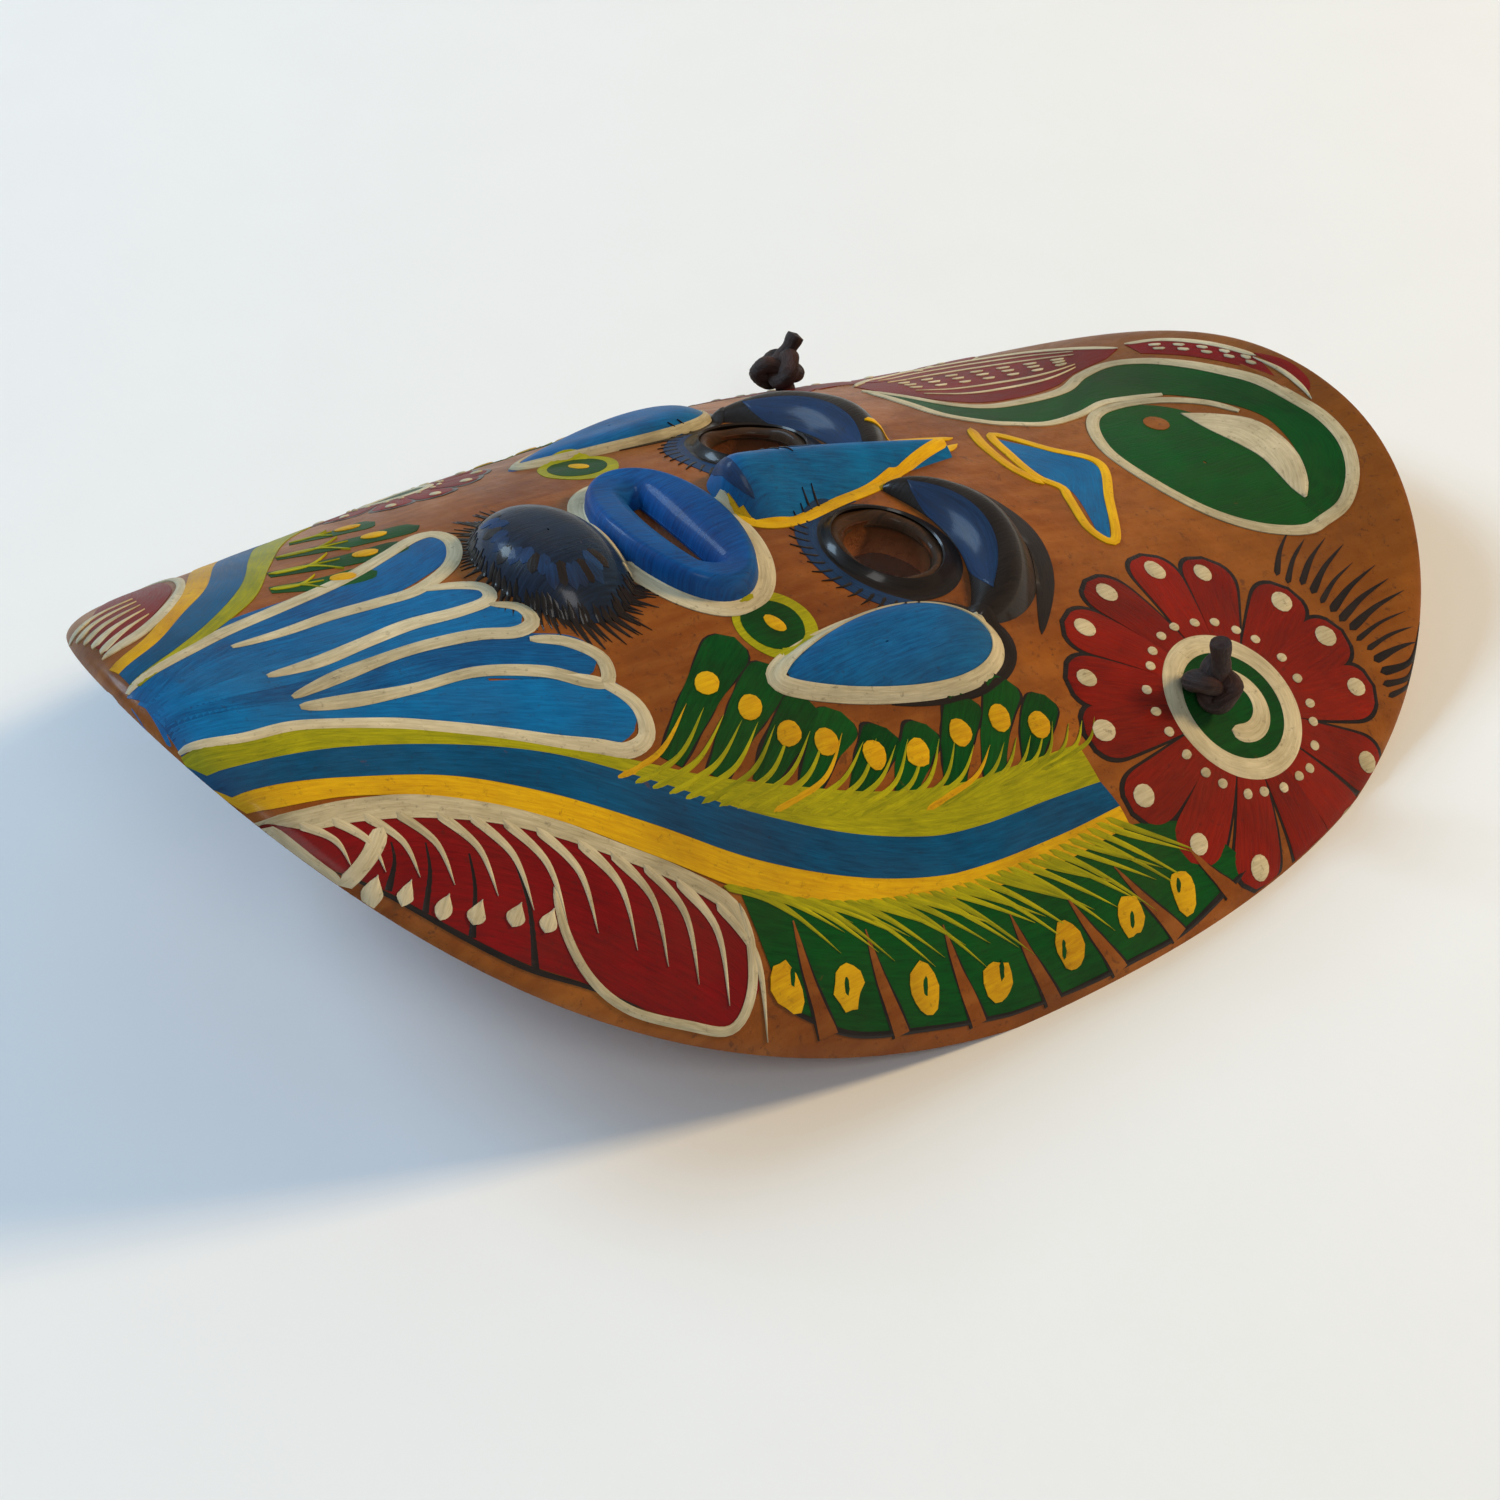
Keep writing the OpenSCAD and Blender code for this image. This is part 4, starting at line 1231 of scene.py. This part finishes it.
# Dark brushwork: eye rims and lashes, the tuft's hairs, painted shadows by the cheeks and below the near brow, and
# hatching on the forehead; dusk blue for the blue paint on the brows, painted shade round the eyes and on the nose's
# tip, and a painted sheen on the tuft
brushwork, dusk_shade_sheen, rims_and_shadows = Coat("dark_brushwork"), Coat("dusk_paint_shade_and_sheen"), Coat("eye_rims_and_painted_shadows")
for side in (NEAR, FAR):

    def round_eye(r, degrees):
        a = np.radians(np.array(degrees, float))
        return np.stack([EYE[0] + r * np.cos(a), side * (EYE[1] + r * np.sin(a))], -1)

    rims_and_shadows.stroke(round_eye(10.3, np.arange(0, 360, 20)), 1.5, 0.07, 0.04, closed=True, n=90)
    # Painted shade round the chin side of the eye.
    dusk_shade_sheen.stroke(round_eye(12.6, np.linspace(95, 285, 12)), 1.9, 0.1, 0.05, taper_both, wave=0.14)
    for k in range(19):
        a = 105 + 8.2 * k
        low, high = 12.2, 15.0 + rng.uniform(-0.4, 0.8)
        lash = [round_eye(low, a), round_eye((low + high) / 2, a + 2), round_eye(high, a + 5)]
        brushwork.stroke(lash, 0.36, 0.16, 0.06, taper_out, n=8)
    u = np.linspace(0.1, 0.86, 36)[:, None]
    v = np.linspace(-0.97, -0.12, 9)[None]
    narrow = round_in((u - 0.1) / 0.76, 0.2) * round_in((0.86 - u) / 0.76, 0.2)
    dusk_shade_sheen.lay(*on_brow(u, v * narrow, side), 0.12, 0.05, 1 - (2 * (v + 0.97) / 0.85 - 1) ** 4, 20 * u, 5 * v)
    # Painted shadow along the forehead side of each cheek pad.
    front = np.roll(cheek_edge(side, 36, 1.05), 10, axis=0)[:19]
    rims_and_shadows.stroke(front, 1.1, 0.1, 0.08, taper_both)
# Painted shadow below the outer end of the near brow ridge.
rims_and_shadows.stroke([(32.5, -5), (34.4, -13), (33.8, -21), (29.4, -30), (21, -39.5)], 2.0, 0.07, 0.04, taper_both)
# Painted shade on the nose's tip.
dusk_shade_sheen.stroke([(-7, -3.5), (-8.2, 1), (-7, 6), (-3.5, 9.5)], 1.5, 0.12, 0.05, taper_both, wave=0.15)


def on_tuft(r, a):
    return TUFT[0] + TUFT_RADII[0] * r * math.cos(a), TUFT[1] + TUFT_RADII[1] * r * math.sin(a)


HAIRS = 110
for k in range(HAIRS):
    a = 2 * math.pi * k / HAIRS + rng.uniform(-0.03, 0.03)
    lo, hi = rng.uniform(0.86, 0.97), rng.uniform(1.1, 1.36)
    hair = [on_tuft(r, a + 0.06 * i) for i, r in enumerate((lo, (lo + hi) / 2, hi))]
    brushwork.stroke(hair, 0.5, 0.08, 0.06, taper_out, n=8)
# Daubs on the near, chin side of the tuft's dome: the blue ones are a painted sheen, and every third one is black
# brushwork.
for k in range(19):
    a = math.radians(120 + 10 * k)
    r = rng.uniform(0.45, 0.62)
    daub = [on_tuft(q, a) for q in (r, r + 0.12, r + 0.26)]
    (dusk_shade_sheen if k % 3 else brushwork).stroke(daub, 1.1, 0.05, 0.02, taper_both, n=8)
temple = Disc(TEMPLE, 52)
for k in range(14):
    a = math.radians(-16 + 3.7 * k)
    lo, hi = 32.2 + rng.uniform(0, 1.5), 44 + rng.uniform(0, 5)
    line = temple.line([polar(lo, a), polar((lo + hi) / 2, a + 0.02), polar(hi, a + 0.01)])
    brushwork.stroke(line, rng.uniform(0.5, 0.85), 0.05, 0.04, taper_out, n=18)
brushwork.make(BLACK)
dusk_shade_sheen.make(DUSK_BLUE_SHADE_SHEEN)
rims_and_shadows.make(BLACK)

# ---------------------------------------------------------------- the far side's motifs

FAR_TEAL_IN = [(-113, -2), (-104, 2), (-94, 9), (-84, 19), (-76, 32), (-69, 43), (-59, 53), (-46, 61), (-32, 66),
               (-16, 69.5), (0, 71.3), (16, 71)]
FAR_TEAL_OUT = [(-113, 1), (-105, 5), (-97, 12.5), (-88.5, 21.5), (-80.5, 35), (-74, 45), (-63, 57), (-49, 65.5),
                (-34, 70.3), (-17, 73.4), (0, 75), (16, 74.8)]
FAR_OLIVE_IN = [(-112, -3.2), (-104, 0), (-95, 5.6), (-85, 13), (-77, 23.5), (-67, 37), (-56, 48), (-44, 57),
                (-30, 62.5), (-15, 66.5), (0, 68.5), (15, 68.5)]
FAR_YELLOW_OUT = [(-113.5, 3), (-106, 7), (-99, 14), (-91.5, 23), (-84, 36), (-77.5, 46), (-66.5, 59), (-51.5, 67.8),
                  (-35, 72.8), (-18, 75.8), (0, 77.2), (16, 77)]
FAR_LEAVES = [((-82, 14), (-66, 10.5)), ((-79, 20), (-57, 16)), ((-74, 27), (-52, 21.5)), ((-68, 34), (-55, 30)),
              ((-22, 65), (-19, 51)), ((-14, 67), (-9, 52)), ((-6, 68), (0, 53)), ((3, 68.5), (10, 55)),
              ((11, 68.5), (20, 58))]


def far_side():
    """The far side's bands and leaves, and the red oval beside the chin."""
    teal, olive, yellow = (Coat(f"band_{colour}_far") for colour in ("teal", "olive", "yellow"))
    leaves, red, cream = Coat("frond_leaves_far"), Coat("chin_oval_red"), Coat("chin_oval_cream")
    teal.patch(FAR_TEAL_IN, FAR_TEAL_OUT, *TEAL_BAND)
    olive.patch(FAR_OLIVE_IN, FAR_TEAL_IN, *BAND)
    yellow.patch(FAR_TEAL_OUT, FAR_YELLOW_OUT, *BAND)
    for root, tip in FAR_LEAVES:
        leaves.stroke([root, mid(root, tip, 0, -0.8), tip], 2.9, 0.08, 0.05, lean_leaf, n=20, across=7)
        spot = (0.68 * tip[0] + 0.32 * root[0], 0.68 * tip[1] + 0.32 * root[1])
        way = math.atan2(tip[1] - root[1], tip[0] - root[0])
        yellow.blob(ellipse(*spot, 2.1, 1.3, way), 0.24, 0.14, rings=5)
        for turn in (-0.35, 0.0, 0.35):
            x, y = (tip[0] - root[0]) * 0.5, (tip[1] - root[1]) * 0.5
            c, s = math.cos(turn), math.sin(turn)
            olive.stroke([root, (root[0] + 0.55 * x, root[1] + 0.55 * y),
                          (root[0] + x * c - y * s, root[1] + x * s + y * c)], 0.6, 0.22, 0.1, taper_out, n=12)
    outer = [(-112, 12), (-108, 20), (-103, 28), (-97, 35.5), (-91, 41.5)]
    inner = [(-112, 6), (-105, 10.5), (-98, 17.5), (-92, 26), (-89, 37)]
    red.patch(inner, outer, 0.1, 0.04, m=14)
    edge = [(-113, 6), (-105, 9.5), (-97, 16.8), (-90.5, 26), (-87.5, 36), (-90, 42.5)]
    cream.stroke(edge, 0.8, *LINE, round_both)
    for k in range(5):
        y0 = 7.5 + 2.6 * k
        streak = [(-112.5, y0), (-107.5, y0 + 3.4), (-101 + 0.6 * k, y0 + 7.6)]
        cream.stroke(streak, 0.75, *LINE, taper_out, n=16)
    for coat, colour in ((teal, TEAL), (olive, OLIVE), (yellow, YELLOW), (leaves, GREEN), (red, DEEP_RED),
                         (cream, CREAM)):
        coat.make(colour)


def dashes(coat, low, top, rows, n, starts, half):
    """Rows of short strokes between two curves, each row a part of the way from low to top."""
    for q in rows:
        line = smooth(np.array(low) * (1 - q) + np.array(top) * q, n)
        for k in starts:
            coat.stroke(line[k : k + 3], half, 0.22, 0.12, round_both, n=6)


def wing():
    """The bird's red wing along the far side of the forehead, with cream outlines, streaks and dashes."""
    red, cream = Coat("wing_red"), Coat("wing_cream")
    low = [(49, 37), (54, 27.5), (60, 23), (68, 22.3), (77, 23.4), (85, 26.8), (93, 28)]
    top = [(49, 44), (57, 50), (66, 52.5), (76, 50.5), (86, 44.5), (93, 37), (97.5, 30)]
    red.patch(low, top, *FILL, n=40)
    cream.stroke(top, 0.7, *LINE, round_both)
    for q in (0.18, 0.3, 0.72, 0.86):
        line = np.array(low) * (1 - q) + np.array(top) * q
        cream.stroke(line[1:-1], 0.42, 0.2, 0.1, taper_both)
    dashes(cream, low, top, (0.42, 0.52, 0.61), 40, range(6, 34, 4), 0.5)
    low = [(98.5, 25), (103, 18), (106.5, 10), (109, 2)]
    top = [(99.5, 30.5), (104.5, 26.5), (108.5, 18.5), (111, 9)]
    red.patch(low, top, *FILL)
    cream.stroke(top, 0.6, *LINE, round_both)
    dashes(cream, low, top, (0.4, 0.68), 24, range(3, 20, 4), 0.45)
    red.stroke([(111.5, 10), (112.6, 4), (112, -2), (110.5, -5)], 1.1, 0.08, 0.04, taper_both)
    cream.stroke([(110.3, 9), (111, 3), (110.4, -3), (109.3, -7)], 0.5, *LINE, taper_both)
    for tip, half in (((24, 70), 5.2), ((38, 74), 5.6), ((54, 73), 5.8), ((70, 66.5), 5.6), ((83, 57), 5.0)):
        root = (49 + 0.25 * (tip[0] - 50), 46 + 0.1 * (tip[1] - 60))
        line = [root, mid(root, tip, 0.06 * (tip[0] - 50)), tip]
        cream.stroke(line, half + 0.8, 0.04, 0.03, lean_leaf, n=26, across=9)
        red.stroke(line, half, 0.12, 0.05, lean_leaf, n=26, across=9)
        for q in (0.45, 0.6, 0.75):
            spot = (root[0] + q * (tip[0] - root[0]), root[1] + q * (tip[1] - root[1]))
            cream.blob(ellipse(*spot, 0.9, 0.7), 0.26, 0.12, rings=3)
    red.make(DEEP_RED)
    cream.make(CREAM)


far_side()
wing()
rosette("cheek", (-42, 46.5), 15.5, 11, DEEP_RED, 0.2, eye=False)

# ---------------------------------------------------------------- floor and light


def make_floor():
    """Plain pale floor that rises far behind in one smooth sweep."""
    turn = np.linspace(0.05, math.pi / 2, 20)
    far = np.concatenate([np.linspace(-2.5, 1.6, 30), 1.6 + 1.2 * np.sin(turn), np.full(10, 2.8)])
    up = np.concatenate([np.zeros(30), 1.2 - 1.2 * np.cos(turn), 1.2 + np.linspace(0.1, 2.0, 10)])
    _, _, back = camera_axes(CAMERA_AZ, CAMERA_EL, 0)
    ahead = np.array([-back.x, -back.y, 0])
    ahead /= np.linalg.norm(ahead)
    aside = np.array([ahead[1], -ahead[0], 0])
    wide = np.linspace(-3.5, 3.5, 4)
    grid = far[:, None, None] * ahead + wide[None, :, None] * aside + up[:, None, None] * np.array([0, 0, 1])
    mesh = bpy.data.meshes.new("floor")
    mesh.from_pydata(grid.reshape(-1, 3), [], grid_faces(len(far), len(wide), 0).tolist())
    made, w, shader = new_material("pale_floor")
    place = w.place()
    colour = w.mix(w.noise(place, 3, 3, 0.5), "E9EEF1", "F1F4F5")
    rough = w.span(w.noise(place, 60, 3), 0.3, 0.7, 0.55, 0.7)
    dress(w, shader, colour, rough, (0.1, 0.0004, w.noise(place, 300, 3)))
    mesh.materials.append(made)
    floor = bpy.data.objects.new("floor", mesh)
    scene.collection.objects.link(floor)
    shade_smooth(floor, 60)


LAMP_AIM = Vector((0, 0, 0.02))


def area_light(name, place, size, power, colour, glints=True):
    data = bpy.data.lights.new(name, "AREA")
    data.shape = "RECTANGLE"
    data.size = data.size_y = size
    data.energy = power
    data.color = colour
    light = bpy.data.objects.new(name, data)
    turn = (LAMP_AIM - place).to_track_quat("-Z", "Y").to_matrix().to_4x4()
    light.matrix_world = Matrix.Translation(place) @ turn
    light.visible_glossy = glints
    scene.collection.objects.link(light)


def from_view(right_by, up_by, back_by):
    """A place given by steps right, up and back from the mask, as the camera sees it."""
    right, _, back = camera_axes(CAMERA_AZ, CAMERA_EL, 0)
    toward = Vector((back.x, back.y, 0)).normalized()
    return right * right_by + Vector((0, 0, 1)) * up_by + toward * back_by


make_floor()
area_light("window", from_view(-1.5, 1.3, -0.6), 0.8, 30, (0.56, 0.78, 1.0))
area_light("lamp", from_view(1.8, 1.0, -0.5), 0.45, 43, (1.0, 0.71, 0.37), glints=False)
area_light("fill", from_view(0.3, 1.7, 1.7), 0.8, 11, (1.0, 0.98, 0.95))

world = bpy.data.worlds.new("studio")
scene.world = world
world.use_nodes = True
sky = world.node_tree.nodes["Background"].inputs
sky["Color"].default_value = (0.82, 0.9, 1.0, 1)
sky["Strength"].default_value = 0.2
scene.view_settings.view_transform = "Standard"
